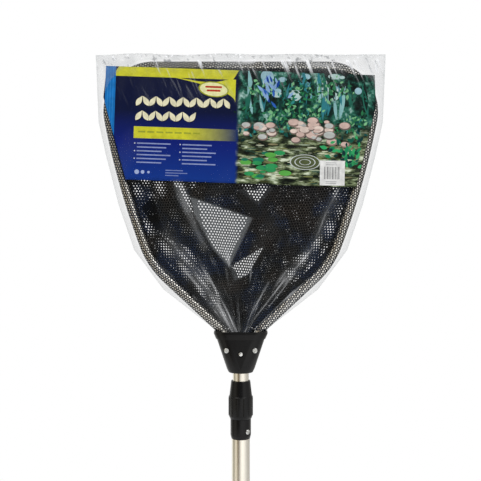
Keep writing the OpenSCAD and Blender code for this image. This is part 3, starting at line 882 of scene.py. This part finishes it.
class NET_OT_hem(bpy.types.Operator):
    """Make the mesh sleeve round the hoop and the binding tape inside it"""

    bl_idname = "skimmer_net.hem"
    bl_label = "Hem"

    def execute(self, context):
        sizes = context.scene.net_cloth
        around = 2 * pi * SLEEVE_R
        start, end = 1 * MM, HOOP.length - 1 * MM
        # The netting is cut on the bias, so that its rows cross the tube at a slant.
        bias = radians(17)
        long = (end - start) / cos(bias)
        mesh = knit(long, around + long * sin(bias) * 1.06, 0.86 * sizes.pitch, 1.14 * sizes.hole)
        x, relief, z = places(mesh)
        put_places(mesh, x * cos(bias) - z * sin(bias), relief, x * sin(bias) + z * cos(bias))
        bm = take_bmesh(mesh)
        half = Vector((end - start, around)) / 2
        trim(bm, [Vector((half.x * i, half.y * j)) for i, j in ((-1, -1), (1, -1), (1, 1), (-1, 1))])
        bmesh.ops.remove_doubles(bm, verts=bm.verts[:], dist=MERGE)
        made = make_object("hem_sleeve_mesh", bm)
        x, relief, z = places(made.data)
        mark_crests(made.data, relief)
        # Its two edges meet behind the tube.
        angle = z / SLEEVE_R - pi / 2
        radius = SLEEVE_R - 0.5 * MM - relief
        centre, out = HOOP.at(np.clip(x + half.x + start, start, end))
        x, z = (centre + out * (radius * np.cos(angle))[:, None]).T
        put_places(made.data, x, radius * np.sin(angle), z + HEAD_Z)
        cut_at_lip(made.data)
        shade_smooth(made.data)
        black = coated_netting("coated_netting_hem", sizes.colour)
        finish_piece(made, "head", "net_mesh", black, "hem_sleeve")

        inner = Line(HOOP.beside(-SLEEVE_R + 0.9 * MM))
        arm = ARM_HIDDEN + ARM_LEN

        def wide(s):
            from_foot = np.minimum(s, inner.length - s)
            return sizes.tape * (1 - 0.62 * smooth_step(from_foot, arm, arm + 70 * MM))

        def ruffle(s, v):
            return 0.9 * MM * np.sin(s * 90) * np.clip(-v / sizes.tape, 0, 1)

        tape = ribbon("hem_binding", inner, wide, 12, ruffle, one_side=True)
        finish_piece(tape, "head", "webbing", woven_tape("woven_tape_hem", sizes.tape_colour), "hem_tape")
        return {"FINISHED"}


def cut_at_lip(mesh):
    """Removes the part of a mesh that lies below the yoke's lip"""
    bm = bmesh.new()
    bm.from_mesh(mesh)
    bmesh.ops.bisect_plane(
        bm, geom=[*bm.verts, *bm.edges, *bm.faces], dist=0.001 * MM, clear_inner=True,
        plane_co=(0, 0, HEAD_Z + LIP_RISE + 0.2 * MM), plane_no=(0, 0, 1))
    bm.to_mesh(mesh)
    bm.free()


def ribbon(name, line, wide, steps_across, depth, one_side=False):
    """A band wide(s) across along a line, with the UV map 'along'. depth(s, v) is its place in Y"""
    bm = bmesh.new()
    uv = bm.loops.layers.uv.new("along")
    count = max(8, int(line.length / (3 * MM)))
    bmesh.ops.create_grid(bm, x_segments=count, y_segments=steps_across, size=0.5)
    for face in bm.faces:
        for corner in face.loops:
            s = (corner.vert.co.x + 0.5) * line.length
            corner[uv].uv = (s, corner.vert.co.y * wide(s))
    made = make_object(name, bm)
    along, across, _ = places(made.data)
    s = (along + 0.5) * line.length
    v = (across - (0.5 if one_side else 0)) * wide(s)
    centre, normal = line.at(s)
    x, z = (centre + normal * v[:, None]).T
    put_places(made.data, x, depth(s, v), z + HEAD_Z)
    shade_smooth(made.data)
    return made


class NET_OT_netting(bpy.types.Operator):
    """Make the layers of netting that lie folded in the hoop"""

    bl_idname = "skimmer_net.netting"
    bl_label = "Netting"

    def execute(self, context):
        sizes = context.scene.net_cloth
        hem = HOOP.beside(-SLEEVE_R - 0.8 * MM)
        whole = hem + on_head(NET_FOOT)
        rim = HOOP.beside(-SLEEVE_R)

        def panel_depth(side, seed):
            def depth(x, z):
                from_rim = distance_to(x, z, rim)
                belly = 1.2 * MM + 6.4 * MM * smooth_step(from_rim, 0, 55 * MM)
                waves = 0.7 * MM * soft_noise(x, z, 70 * MM, seed) * smooth_step(from_rim, 4 * MM, 50 * MM)
                bunched = 2.6 * MM * pleats(x, z, seed) * smooth_step(z, -8 * MM, 25 * MM)
                return side * (belly + waves) + bunched
            return depth

        def fold_depth(y, seed):
            def depth(x, z):
                return y + 0.5 * MM * soft_noise(x, z, 60 * MM, seed) + 1.8 * MM * pleats(x, z, seed)
            return depth

        outer = coated_netting("coated_netting_panels", sizes.colour)
        # The folded layers behind the front get a darker copy of the netting as painted shade: little painted
        # highlight on their crests and a weaker gloss.
        shaded = coated_netting("coated_netting_folds_painted_shade", sizes.colour, 0.8, 1.15)
        left, right, back = on_head(FOLD_LEFT), on_head(FOLD_RIGHT), on_head(FOLD_BACK)
        # name, node, outline, turn in degrees, share of the pitch, share of the hole, stretch, Y, openings
        layers = (
            ("net_panel_front", "net_front", whole, 3, 0.9, 0.93, 0.95, panel_depth(-1, 3), WINDOWS),
            ("net_panel_back", "net_back", whole, -4, 0.96, 0.9, 1.0, panel_depth(1, 5), ()),
            ("fold_layer_left", "net_fold_left", left, 31, 0.56, 0.28, 0.9, fold_depth(-4 * MM, 7), ()),
            ("fold_layer_right", "net_fold_right", right, -21, 0.56, 0.28, 0.9, fold_depth(-2 * MM, 9), ()),
            ("fold_layer_back", "net_fold_back", back, 41, 0.54, 0.28, 0.9, fold_depth(4.2 * MM, 11), ()),
        )
        for name, node, outline, turn, share, open_share, stretch, depth, openings in layers:
            pitch, hole = sizes.pitch * share, sizes.hole * open_share
            made = netting(
                name, pitch, hole, outline, radians(turn), depth, stretch, openings, outline is not whole)
            finish_piece(made, "head", "net_mesh", outer if outline is whole else shaded, node)
        return {"FINISHED"}


class NET_OT_tapes(bpy.types.Operator):
    """Make the two bound seams and the strip along the net's bottom"""

    bl_idname = "skimmer_net.tapes"
    bl_label = "Seam Tapes"

    def execute(self, context):
        black = woven_tape("woven_tape_seams", context.scene.net_cloth.tape_colour)
        bands = (
            ("seam_binding_left", "seam_tape_left", TAPE_LEFT, 8 * MM, -5.9 * MM),
            ("seam_binding_right", "seam_tape_right", TAPE_RIGHT, 10 * MM, -0.1 * MM),
            ("bottom_binding", "bottom_strip", BOTTOM_STRIP, 16 * MM, 1.9 * MM),
        )
        for name, node, points, width, y in bands:
            line = rounded_line([p * MM for p in np.array(points, float)])
            made = ribbon(name, line, lambda s, width=width: width, 4,
                          lambda s, v, y=y: y + 0.4 * MM * np.sin(s * 70) + 0.3 * MM * np.cos(v * 500))
            finish_piece(made, "head", "webbing", black, node)
        return {"FINISHED"}


# ---- packing ----


def card_to_head(u, v):
    """The place on the head of a point of the card, whose top middle is the origin"""
    return u * cos(CARD_TILT) - v * sin(CARD_TILT), u * sin(CARD_TILT) + v * cos(CARD_TILT) + CARD_TOP


def card_bow(u, v):
    """How far the card bends out of its plane"""
    return 0.16 * MM * np.sin(u / (38 * MM)) * np.cos(v / (55 * MM))


def lay_on_card(made, lift):
    """Moves a flat mesh from the card's own plane to its place on the head, lift in front of the card"""
    u, v, level = places(made.data)
    x, z = card_to_head(u, v)
    put_places(made.data, x, CARD_FRONT - lift + card_bow(u, v) - level, z + HEAD_Z)


def head_to_card(x, z):
    """The place on the card of a point of the head"""
    rise = z - CARD_TOP
    return x * cos(CARD_TILT) + rise * sin(CARD_TILT), rise * cos(CARD_TILT) - x * sin(CARD_TILT)


def on_card(u, v, turn):
    """The matrix that turns a shape and moves it to u, v millimetres on the card"""
    return Matrix.Translation((u * MM, v * MM, 0)) @ Matrix.Rotation(turn, 4, "Z")


class Print:
    """Shapes of ink on the card, each with its own colour. Sizes are millimetres on the card

    level says which shapes lie on top, from 0 to 19.
    """

    def __init__(self):
        self.bm = bmesh.new()
        self.ink = self.bm.verts.layers.float_color.new("ink")
        self.rng = np.random.RandomState(12)

    def paint(self, verts, hex_colour, level):
        """Gives vertices their colour and their level"""
        for vert in verts:
            vert[self.ink] = linear(hex_colour)
            vert.co.z = INK_LAYER * level

    def bar(self, left, top, width, height, hex_colour, level=1, slant=0.0, fade=None):
        """A bar, which may lean to the right or fade to a second colour there"""
        made = bmesh.ops.create_grid(
            self.bm, x_segments=max(1, int(width / 4)), y_segments=1, size=0.5)["verts"]
        share = [vert.co.x + 0.5 for vert in made]
        for vert in made:
            vert.co.x = (left + (vert.co.x + 0.5) * width + slant * vert.co.y * height) * MM
            vert.co.y = (top - height + (vert.co.y + 0.5) * height) * MM
        self.paint(made, hex_colour, level)
        if fade:
            # The first half keeps its colour.
            start, end = Vector(linear(hex_colour)), Vector(linear(fade))
            for vert, t in zip(made, share):
                vert[self.ink] = start.lerp(end, max(0.0, 2 * t - 1))

    def shape(self, points, hex_colour, level):
        """A flat shape with the given corners"""
        made = [self.bm.verts.new((u * MM, v * MM, 0)) for u, v in points]
        self.bm.faces.new(made)
        self.paint(made, hex_colour, level)

    def block(self, u, v, width, height, hex_colour, level, round_off):
        """A bar with rounded corners"""
        inner = (width / 2 - round_off, height / 2 - round_off)
        corners = ((1, 1, 0), (-1, 1, pi / 2), (-1, -1, pi), (1, -1, 1.5 * pi))
        self.shape([
            (u + i * inner[0] + round_off * cos(a), v + j * inner[1] + round_off * sin(a))
            for i, j, start in corners for a in np.linspace(start, start + pi / 2, 5)], hex_colour, level)

    def disc(self, u, v, radius, hex_colour, level, flatten=1.0, turn=0.0):
        """A disc, or an oval when it is flattened"""
        made = bmesh.ops.create_circle(
            self.bm, cap_ends=True, radius=radius * MM, segments=20,
            matrix=on_card(u, v, turn) @ Matrix.Diagonal((1, flatten, 1, 1)))
        self.paint(made["verts"], hex_colour, level)

    def leaf(self, u, v, length, turn, hex_colour, level, width=1.0):
        """A pointed leaf whose stalk end is at u, v"""
        made = bmesh.ops.create_grid(self.bm, x_segments=8, y_segments=1, size=0.5)["verts"]
        for vert in made:
            t = vert.co.x + 0.5
            vert.co.x = t * length * MM
            vert.co.y = vert.co.y * length * MM * width * (0.03 + 0.5 * sin(pi * t) * (1.25 - 0.7 * t))
        bmesh.ops.transform(self.bm, matrix=on_card(u, v, turn), verts=made)
        self.paint(made, hex_colour, level)


def print_left_half(art, lime):
    """Bands, an oval badge, two garlands of leaves and rows of bars on the blue half of the card"""
    art.bar(-184, 0, 14, 118, "#0E74C2")
    for i in range(3):
        art.bar(-181 + 3.6 * i, 0, 0.8, 112, "#2C8AD2", level=2)
    art.bar(-170, 0, 164, 13, lime, slant=0.6)
    swoosh = [(-6 - 84 * (1 - t) ** 2, -12.8 - 31 * t) for t in np.linspace(0, 1, 12)]
    art.shape(swoosh + [(-6, -12.8)], lime, 1)
    for level, tone, radius, flatten in ((3, "#A8AC1E", 21, 0.5), (4, "#F4F2B4", 19, 0.48)):
        art.disc(-36, -27, radius, tone, level, flatten, turn=radians(-6))
    for v, width in ((-23.8, 23), (-28.8, 19)):
        art.block(-36, v, width, 2.6, "#C0391F", 5, 1.2)
    # Two garlands of leaves stand in the place of a headline.
    for foot, count in ((-52.6, 14), (-72.6, 9)):
        for i in range(count):
            shift, turn = ((0, radians(58)), (8, radians(122)))[i % 2]
            u = -141 + 9.2 * i + shift
            art.leaf(u + 0.9, foot - 0.9, 15.5, turn, "#020617", 6, 0.95)
            art.leaf(u, foot, 15.5, turn, "#EFE9C6", 7, 0.95)
    art.bar(-143, -81, 142, 16, lime, fade="#0A2A66")
    for i in range(7):
        art.bar(-137 + 12.5 * i, -87, 9.5, 2.2, "#A2AA34", level=2)
    for column, left in enumerate((-142, -80)):
        for i in range(6):
            top = -103 - 5.2 * i
            if i % 2 == 0:
                art.disc(left + 1, top - 0.9, 0.9, "#D8DCEB", 2)
            art.bar(left + 4, top, 46 - 6 * ((i + column) % 3), 1.7, "#8F9CCB")
    for i in range(3):
        art.disc(-137 + 8 * i, -143, 3.2 - 0.7 * i, "#A9B9E2", 2)
    for top, width in ((-139, 24), (-142.5, 30), (-146, 18)):
        art.bar(-98, top, width, 1.2, "#7F8EC2")


def print_right_half(art):
    """Reeds, leaves and pebbles by rippled water on the other half of the card"""
    rng = art.rng

    def pick(*tones):
        return tones[rng.randint(len(tones))]

    for _ in range(26):
        at = (rng.uniform(30, 172), -rng.uniform(4, 34))
        art.disc(*at, rng.uniform(3, 9), pick("#9CC3CE", "#6FA6B8", "#B9D5D2"), 0, rng.uniform(0.4, 1.3))
    for _ in range(34):
        u, v = rng.uniform(4, 176), -rng.uniform(34, 70)
        art.leaf(u, v, rng.uniform(26, 52), pi / 2 + rng.uniform(-0.22, 0.22),
                 pick("#06201C", "#0B3A34", "#1E6A58", "#2F7F8A", "#8CBFC0"), rng.randint(1, 5), 0.28)
    for _ in range(26):
        u, v = rng.uniform(8, 174), -rng.uniform(8, 82)
        tones = pick(
            ("#082A1E", "#14503A", "#2A8450"), ("#062826", "#10504E", "#2E8A86"),
            ("#2C7A4E", "#7FC08A", "#14503A"))
        for _ in range(22):
            art.leaf(u + rng.normal(0, 8), min(-2, v + rng.normal(0, 6)), rng.uniform(3.5, 8),
                     rng.uniform(0, 2 * pi), pick(*tones), rng.randint(5, 14))
    for _ in range(16):
        art.leaf(rng.normal(44, 12), -rng.uniform(14, 50), rng.uniform(9, 17),
                 pi / 2 + rng.uniform(-0.9, 0.9), pick("#12419A", "#2E66C4", "#8FB4E2"),
                 rng.randint(14, 17), 0.6)
    # Rings of ripples on the water
    for k, radius in enumerate((21, 19.4, 14.5, 13.1, 8, 6.8)):
        art.disc(92, -122, radius, ("#D3DAD6", "#56603E")[k % 2], 10 + k, 0.5)
    for u, count in ((104, 34), (26, 12)):
        for _ in range(count):
            size = rng.uniform(3, 9.5)
            at = (u + rng.normal(0, 19), -79 + rng.normal(0, 6))
            level = rng.randint(15, 19)
            art.disc(*at, size, pick("#7D6A62", "#8A756B", "#6E625C"), level, 0.66)
            art.disc(at[0] - 0.6, at[1] + 0.8, size * 0.84, pick("#D9BDB2", "#EAD6CA", "#C4C8C4"),
                     level + 1, 0.6)
    water = ("#3C4020", "#7F8450", "#0C1208", "#101A10", "#8C8460", "#DCE2C4", "#2A5246", "#A9B89C")
    for _ in range(190):
        at = (rng.uniform(6, 156), -rng.uniform(93, 151))
        art.disc(*at, rng.uniform(2, 8), pick(*water), rng.randint(1, 9), rng.uniform(0.06, 0.16))
    for _ in range(20):
        at = (rng.normal(32, 16), -rng.uniform(110, 147))
        art.disc(*at, rng.uniform(4, 9), pick("#2F9A5A", "#5FB24E", "#1E7A5E"), rng.randint(9, 16), 0.42)
    for _ in range(60):
        art.leaf(rng.uniform(120, 166), -rng.uniform(88, 128), rng.uniform(5, 11), rng.uniform(0.2, 2.9),
                 pick("#1F8A5A", "#37B06A", "#0F5A48", "#0A3A3A"), rng.randint(9, 20))


def swap_up(bm):
    """Exchanges Y and Z"""
    for vert in bm.verts:
        vert.co.z, vert.co.y = vert.co.y, vert.co.z


def header_card(outline):
    """The card, with the UV map 'print' over its whole face"""
    width, height = CARD_SIZE
    bm = bmesh.new()
    uv = bm.loops.layers.uv.new("print")
    bmesh.ops.create_grid(bm, x_segments=74, y_segments=32, size=0.5)
    for vert in bm.verts:
        vert.co = (vert.co.x * width, 0, (vert.co.y - 0.5) * height)
    trim(bm, outline)
    for face in bm.faces:
        for corner in face.loops:
            corner[uv].uv = (corner.vert.co.x / width + 0.5, corner.vert.co.z / height + 1)
    swap_up(bm)
    made = make_object("printed_header_card", bm)
    lay_on_card(made, 0)
    shade_smooth(made.data)
    thick = made.modifiers.new("card thickness", "SOLIDIFY")
    thick.thickness = CARD_THICK
    thick.offset = -1
    return made


def card_ink(outline, lime):
    """The print on the card, cut along its outline"""
    art = Print()
    print_left_half(art, lime)
    print_right_half(art)
    # The outline is cut in the upright plane.
    swap_up(art.bm)
    trim(art.bm, outline)
    swap_up(art.bm)
    made = make_object("card_ink", art.bm)
    lay_on_card(made, 0.02 * MM)
    return made


def sticker_label(bars):
    """The white label with its plain bars, at the place of its node"""
    low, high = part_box("price_label")
    centre = (low + high) / 2
    label = Print()
    label.bar(-LABEL_SIDE / 2, LABEL_SIDE / 2, LABEL_SIDE, LABEL_SIDE, "#F2F2F0", 0)
    for i in range(bars):
        label.bar(-11 + 22 * i / bars, 8.5, (0.8, 0.4, 1.0, 0.5)[i % 4], 17, "#4C4D50", 2)
    for top in (14.2, 11.6, -11.4, -13.6):
        label.bar(-9, top, 18 - abs(top) / 4, 0.7, "#A6A7AA", 2)
    u, v = head_to_card(centre.x, centre.z - HEAD_Z)
    bmesh.ops.transform(
        label.bm, matrix=on_card(u / MM, v / MM, radians(1)), verts=label.bm.verts[:])
    made = make_object("sticker_label", label.bm)
    lay_on_card(made, CARD_FRONT - low.y)
    return made


class NET_OT_card(bpy.types.Operator):
    """Make the header card with its plain print, and the label"""

    bl_idname = "skimmer_net.card"
    bl_label = "Card and Label"

    def execute(self, context):
        sizes = context.scene.net_packing
        outline = on_head(CARD_EDGE)
        card, ink, label = header_card(outline), card_ink(outline, sizes.lime), sticker_label(sizes.bars)
        finish_piece(card, "head", "card_print", printed_card("printed_card"), "header_card")
        finish_piece(ink, "head", "card_print", printing_ink("printing_ink"))
        finish_piece(label, "head", "label_paper", printing_ink("label_ink"), "price_label")
        return {"FINISHED"}


def film_sheet(name, side, sizes, seed):
    """One sheet of the bag, from the yoke up to the sealed top edge, with its wrinkles"""
    edge = np.array(FILM_EDGE, float) * MM
    foot, top = edge[0, 1], edge[-1, 1]
    bm = bmesh.new()
    bmesh.ops.create_grid(bm, x_segments=250, y_segments=250, size=1.0)
    made = make_object(name, bm)
    across, up, _ = places(made.data)
    # The columns of points lie closer together towards the sides.
    across = np.sin(across * pi / 2)
    z = foot + (up + 1) / 2 * (top - foot)
    half = np.interp(z, edge[:, 1], edge[:, 0])
    x = across * half
    rim = (1 - np.abs(across)) * half
    from_top = top - z
    z = z - 2.4 * MM * (0.5 + 0.5 * soft_noise(x, 0 * z, 120 * MM, 8)) * smooth_step(z, 340 * MM, top)
    off_hoop = np.where(is_inside(x, z, HOOP.beside(SLEEVE_R)), 0, 1)
    crumple = smooth_step(z + 4 * MM * soft_noise(x, 0 * z, 40 * MM, 2), LOOSE_FROM, LOOSE_FULL)
    crumple += 0.16 * smooth_step(z, 300 * MM, 345 * MM) * (1 - crumple)
    belly = np.sqrt(np.clip(np.minimum(rim, from_top) / BAG_ROUND, 0, 1))
    depth = (BAG_DEPTH - 3 * MM * (1 - smooth_step(z, 0, 60 * MM))) * belly
    waves = soft_noise(x, z, 46 * MM, seed) * 0.5 + soft_noise(x, z * 0.3, 17 * MM, seed + 1) * crumple
    fan = pleats(x, z, seed) * 2.6 * MM
    out = depth + np.clip((waves * sizes.wrinkle + np.abs(fan)) * belly, -0.3 * MM, 4 * MM)
    put_places(made.data, x, side * out, z + HEAD_Z)
    shade_smooth(made.data)

    # Painted highlights along the creases, each with a faint broad glow round it
    crease_glint = np.zeros(len(x))
    for strength, wide, line in FILM_CREASES if side < 0 else ():
        near = distance_to(x, z, on_head(line))
        along = 0.55 + 0.45 * soft_noise(x, z, 60 * MM, seed + 4)
        crease_glint += strength * along * np.exp(-(near / (wide * MM)) ** 2)
        crease_glint += 0.02 * np.exp(-(near / (7 * MM)) ** 2)
    # Broad patches of painted sheen on the film, from a little above the yoke upwards
    sheen = 0.05 * np.clip(soft_noise(x, z, 105 * MM, seed + 6) - 0.35, 0, 1)
    sheen *= smooth_step(z, 20 * MM, 80 * MM)
    seam = np.exp(-np.minimum(rim, from_top) / (1.2 * MM))
    loose = np.maximum(off_hoop, 0.3 * crumple**2)
    # A painted sheen stands for light from behind scattered by the film, in and along the edge of each place
    # where the netting behind it is thinnest.
    for window, milky in zip(map(on_head, WINDOWS), WINDOW_BACKLIGHT_SHEEN):
        away = np.where(is_inside(x, z, window), 0, distance_to(x, z, window + window[:1]))
        sheen += milky * np.exp(-away / (0.7 * MM))
    # The haze attribute holds the film's own haze, the milkiness of loose film and of its seams, and on the
    # front sheet the painted sheen.
    haze = sizes.haze + sizes.loose_haze * loose + sheen * (side < 0) + 0.15 * seam
    point_attribute(made.data, "haze", haze)
    point_attribute(made.data, "crease_glint", np.clip(crease_glint, 0, 0.8))
    point_attribute(made.data, "crumple", crumple)
    return made


class NET_OT_film(bpy.types.Operator):
    """Make the two sheets of the clear bag"""

    bl_idname = "skimmer_net.film"
    bl_label = "Film Bag"

    def execute(self, context):
        sizes = context.scene.net_packing
        film = clear_film("clear_film")
        for name, node, side, seed in (
                ("bag_sheet_front", "bag_front_film", -1, 21), ("bag_sheet_back", "bag_back_film", 1, 34)):
            made = film_sheet(name, side, sizes, seed)
            finish_piece(made, "head", "clear_film", film, node)
        return {"FINISHED"}


# ---- stage ----


def white_studio():
    """A white room for the camera, with bright and dim walls for reflections and an even fill"""
    world = bpy.data.worlds.new("white_studio")
    bpy.context.scene.world = world
    world.use_nodes = True
    tree = world.node_tree
    way = add_node(tree, "SeparateXYZ", {0: add_node(tree, "TexCoord", output="Generated")}).node.outputs
    ahead = add_node(tree, "Math", {0: way["Y"], 1: -1.0}, operation="MULTIPLY")
    turn = add_node(tree, "Math", {0: way["X"], 1: ahead}, operation="ARCTAN2")
    place = add_node(tree, "MapRange", {"Value": turn, "From Min": -pi, "From Max": pi})
    # Once round, from behind the object over its left and its front to its right
    walls = add_node(tree, "ValToRGB", {"Fac": place}, (
        (0.0, (0.9, 0.9, 0.88)), (1.0, (0.55, 0.54, 0.52)), (0.13, (1, 1, 0.98)), (0.2, (0.4, 0.38, 0.3)),
        (0.25, (0.24, 0.22, 0.16)), (0.29, (0.75, 0.7, 0.6)), (0.35, (0.8, 0.74, 0.6)),
        (0.39, (0.2, 0.15, 0.09)), (0.44, (0.16, 0.13, 0.09)), (0.48, (0.75, 0.73, 0.7)),
        (0.53, (1.3, 1.28, 1.24)), (0.62, (1.1, 1.09, 1.06)), (0.69, (0.72, 0.71, 0.69)),
        (0.78, (0.52, 0.51, 0.49))))
    # A dark flag stands in front, from a little below the camera up to the ceiling.
    aside = add_node(tree, "Math", {0: turn}, operation="ABSOLUTE")
    middle = add_node(tree, "MapRange", {
        "Value": aside, "From Min": 0.25, "From Max": 0.6, "To Min": 0.8, "To Max": 0.0},
        interpolation_type="SMOOTHSTEP")
    above = add_node(tree, "MapRange", {
        "Value": way["Z"], "From Min": -0.16, "From Max": -0.06}, interpolation_type="SMOOTHSTEP")
    flag = add_node(tree, "Math", {0: middle, 1: above}, operation="MULTIPLY")
    flagged = add_node(tree, "Mix", {
        "Factor": flag, 6: walls, 7: (0.02, 0.02, 0.022, 1)}, output=2, data_type="RGBA")
    rays = add_node(tree, "LightPath").node.outputs
    mirrored = add_node(tree, "Math", {
        0: rays["Is Glossy Ray"], 1: rays["Is Transmission Ray"]}, operation="MAXIMUM")
    fill = bpy.context.scene.net_stage.fill
    even, seen, white = [
        add_node(tree, "Background", {"Color": colour, "Strength": strength})
        for colour, strength in (((1, 1, 1, 1), fill), (flagged, 1.05), ((1, 1, 1, 1), 1.0))]
    some = add_node(tree, "MixShader", {0: mirrored, 1: even, 2: seen})
    every = add_node(tree, "MixShader", {0: rays["Is Camera Ray"], 1: some, 2: white})
    fill_sockets(tree.nodes["World Output"], {"Surface": every})


class NET_OT_stage(bpy.types.Operator):
    """Set up the floor, the studio light and the camera"""

    bl_idname = "skimmer_net.stage"
    bl_label = "Stage"

    def execute(self, context):
        settings = context.scene.net_stage
        scene = context.scene
        scene.view_settings.view_transform = "Standard"
        white_studio()

        bm = bmesh.new()
        bmesh.ops.create_circle(bm, cap_ends=True, radius=1.0, segments=96,
                                matrix=Matrix.Translation((0, 0, cad_bounds[0].z - 0.5 * MM)))
        floor = make_object("studio_floor", bm)
        floor.data.materials.append(studio_floor("studio_floor"))

        aim = Vector((0, 0, HEAD_Z + settings.aim))
        for name, place, size, share in (
                ("lamp_left", (-1.3, -1.2, 1.9), 1.3, 1.0), ("lamp_right", (1.4, -1.4, 1.7), 1.2, 0.9),
                ("lamp_top", (0.1, -0.3, 2.1), 1.4, 0.6), ("lamp_back", (0.2, 2.0, 1.4), 2.0, 0.6)):
            lamp = bpy.data.lights.new(name, "AREA")
            lamp.size = size
            lamp.energy = settings.lamps * share
            made = bpy.data.objects.new(name, lamp)
            scene.collection.objects.link(made)
            made.location = aim + Vector(place)
            made.rotation_euler = (aim - made.location).to_track_quat("-Z", "Y").to_euler()

        camera = bpy.data.cameras.new("camera")
        camera.sensor_width = 36
        camera.lens = camera.sensor_width * settings.distance / settings.field
        made = bpy.data.objects.new("camera", camera)
        scene.collection.objects.link(made)
        made.location = (-0.3 * MM, -settings.distance, aim.z)
        made.rotation_euler = (pi / 2, 0, 0)
        scene.camera = made
        return {"FINISHED"}


class NET_PT_sidebar(bpy.types.Panel):
    """Lists the pieces of the net in the 3D view's sidebar"""

    bl_label = "Skimmer Net"
    bl_idname = "NET_PT_sidebar"
    bl_space_type = "VIEW_3D"
    bl_region_type = "UI"
    bl_category = "Skimmer Net"

    def draw(self, context):
        for group, _ in GROUPS:
            settings = getattr(context.scene, group)
            box = self.layout.box()
            for name in settings.__annotations__:
                box.prop(settings, name)
        for maker in MAKERS:
            self.layout.operator(maker.bl_idname)


GROUPS = (
    ("net_cloth", NetSettings), ("net_pole", PoleSettings), ("net_packing", PackingSettings),
    ("net_stage", StageSettings),
)
MAKERS = (
    NET_OT_stage, NET_OT_pole, NET_OT_grip, NET_OT_lock, NET_OT_yoke, NET_OT_hoop, NET_OT_hem,
    NET_OT_netting, NET_OT_tapes, NET_OT_card, NET_OT_film,
)
CLASSES = (*(group for _, group in GROUPS), *MAKERS, NET_PT_sidebar)


def register():
    for cls in CLASSES:
        bpy.utils.register_class(cls)
    for name, group in GROUPS:
        setattr(bpy.types.Scene, name, PointerProperty(type=group))


def unregister():
    for name, _ in GROUPS:
        delattr(bpy.types.Scene, name)
    for cls in reversed(CLASSES):
        bpy.utils.unregister_class(cls)


def main():
    register()
    for maker in MAKERS:
        family, name = maker.bl_idname.split(".")
        getattr(getattr(bpy.ops, family), name)()


if __name__ == "__main__":
    main()
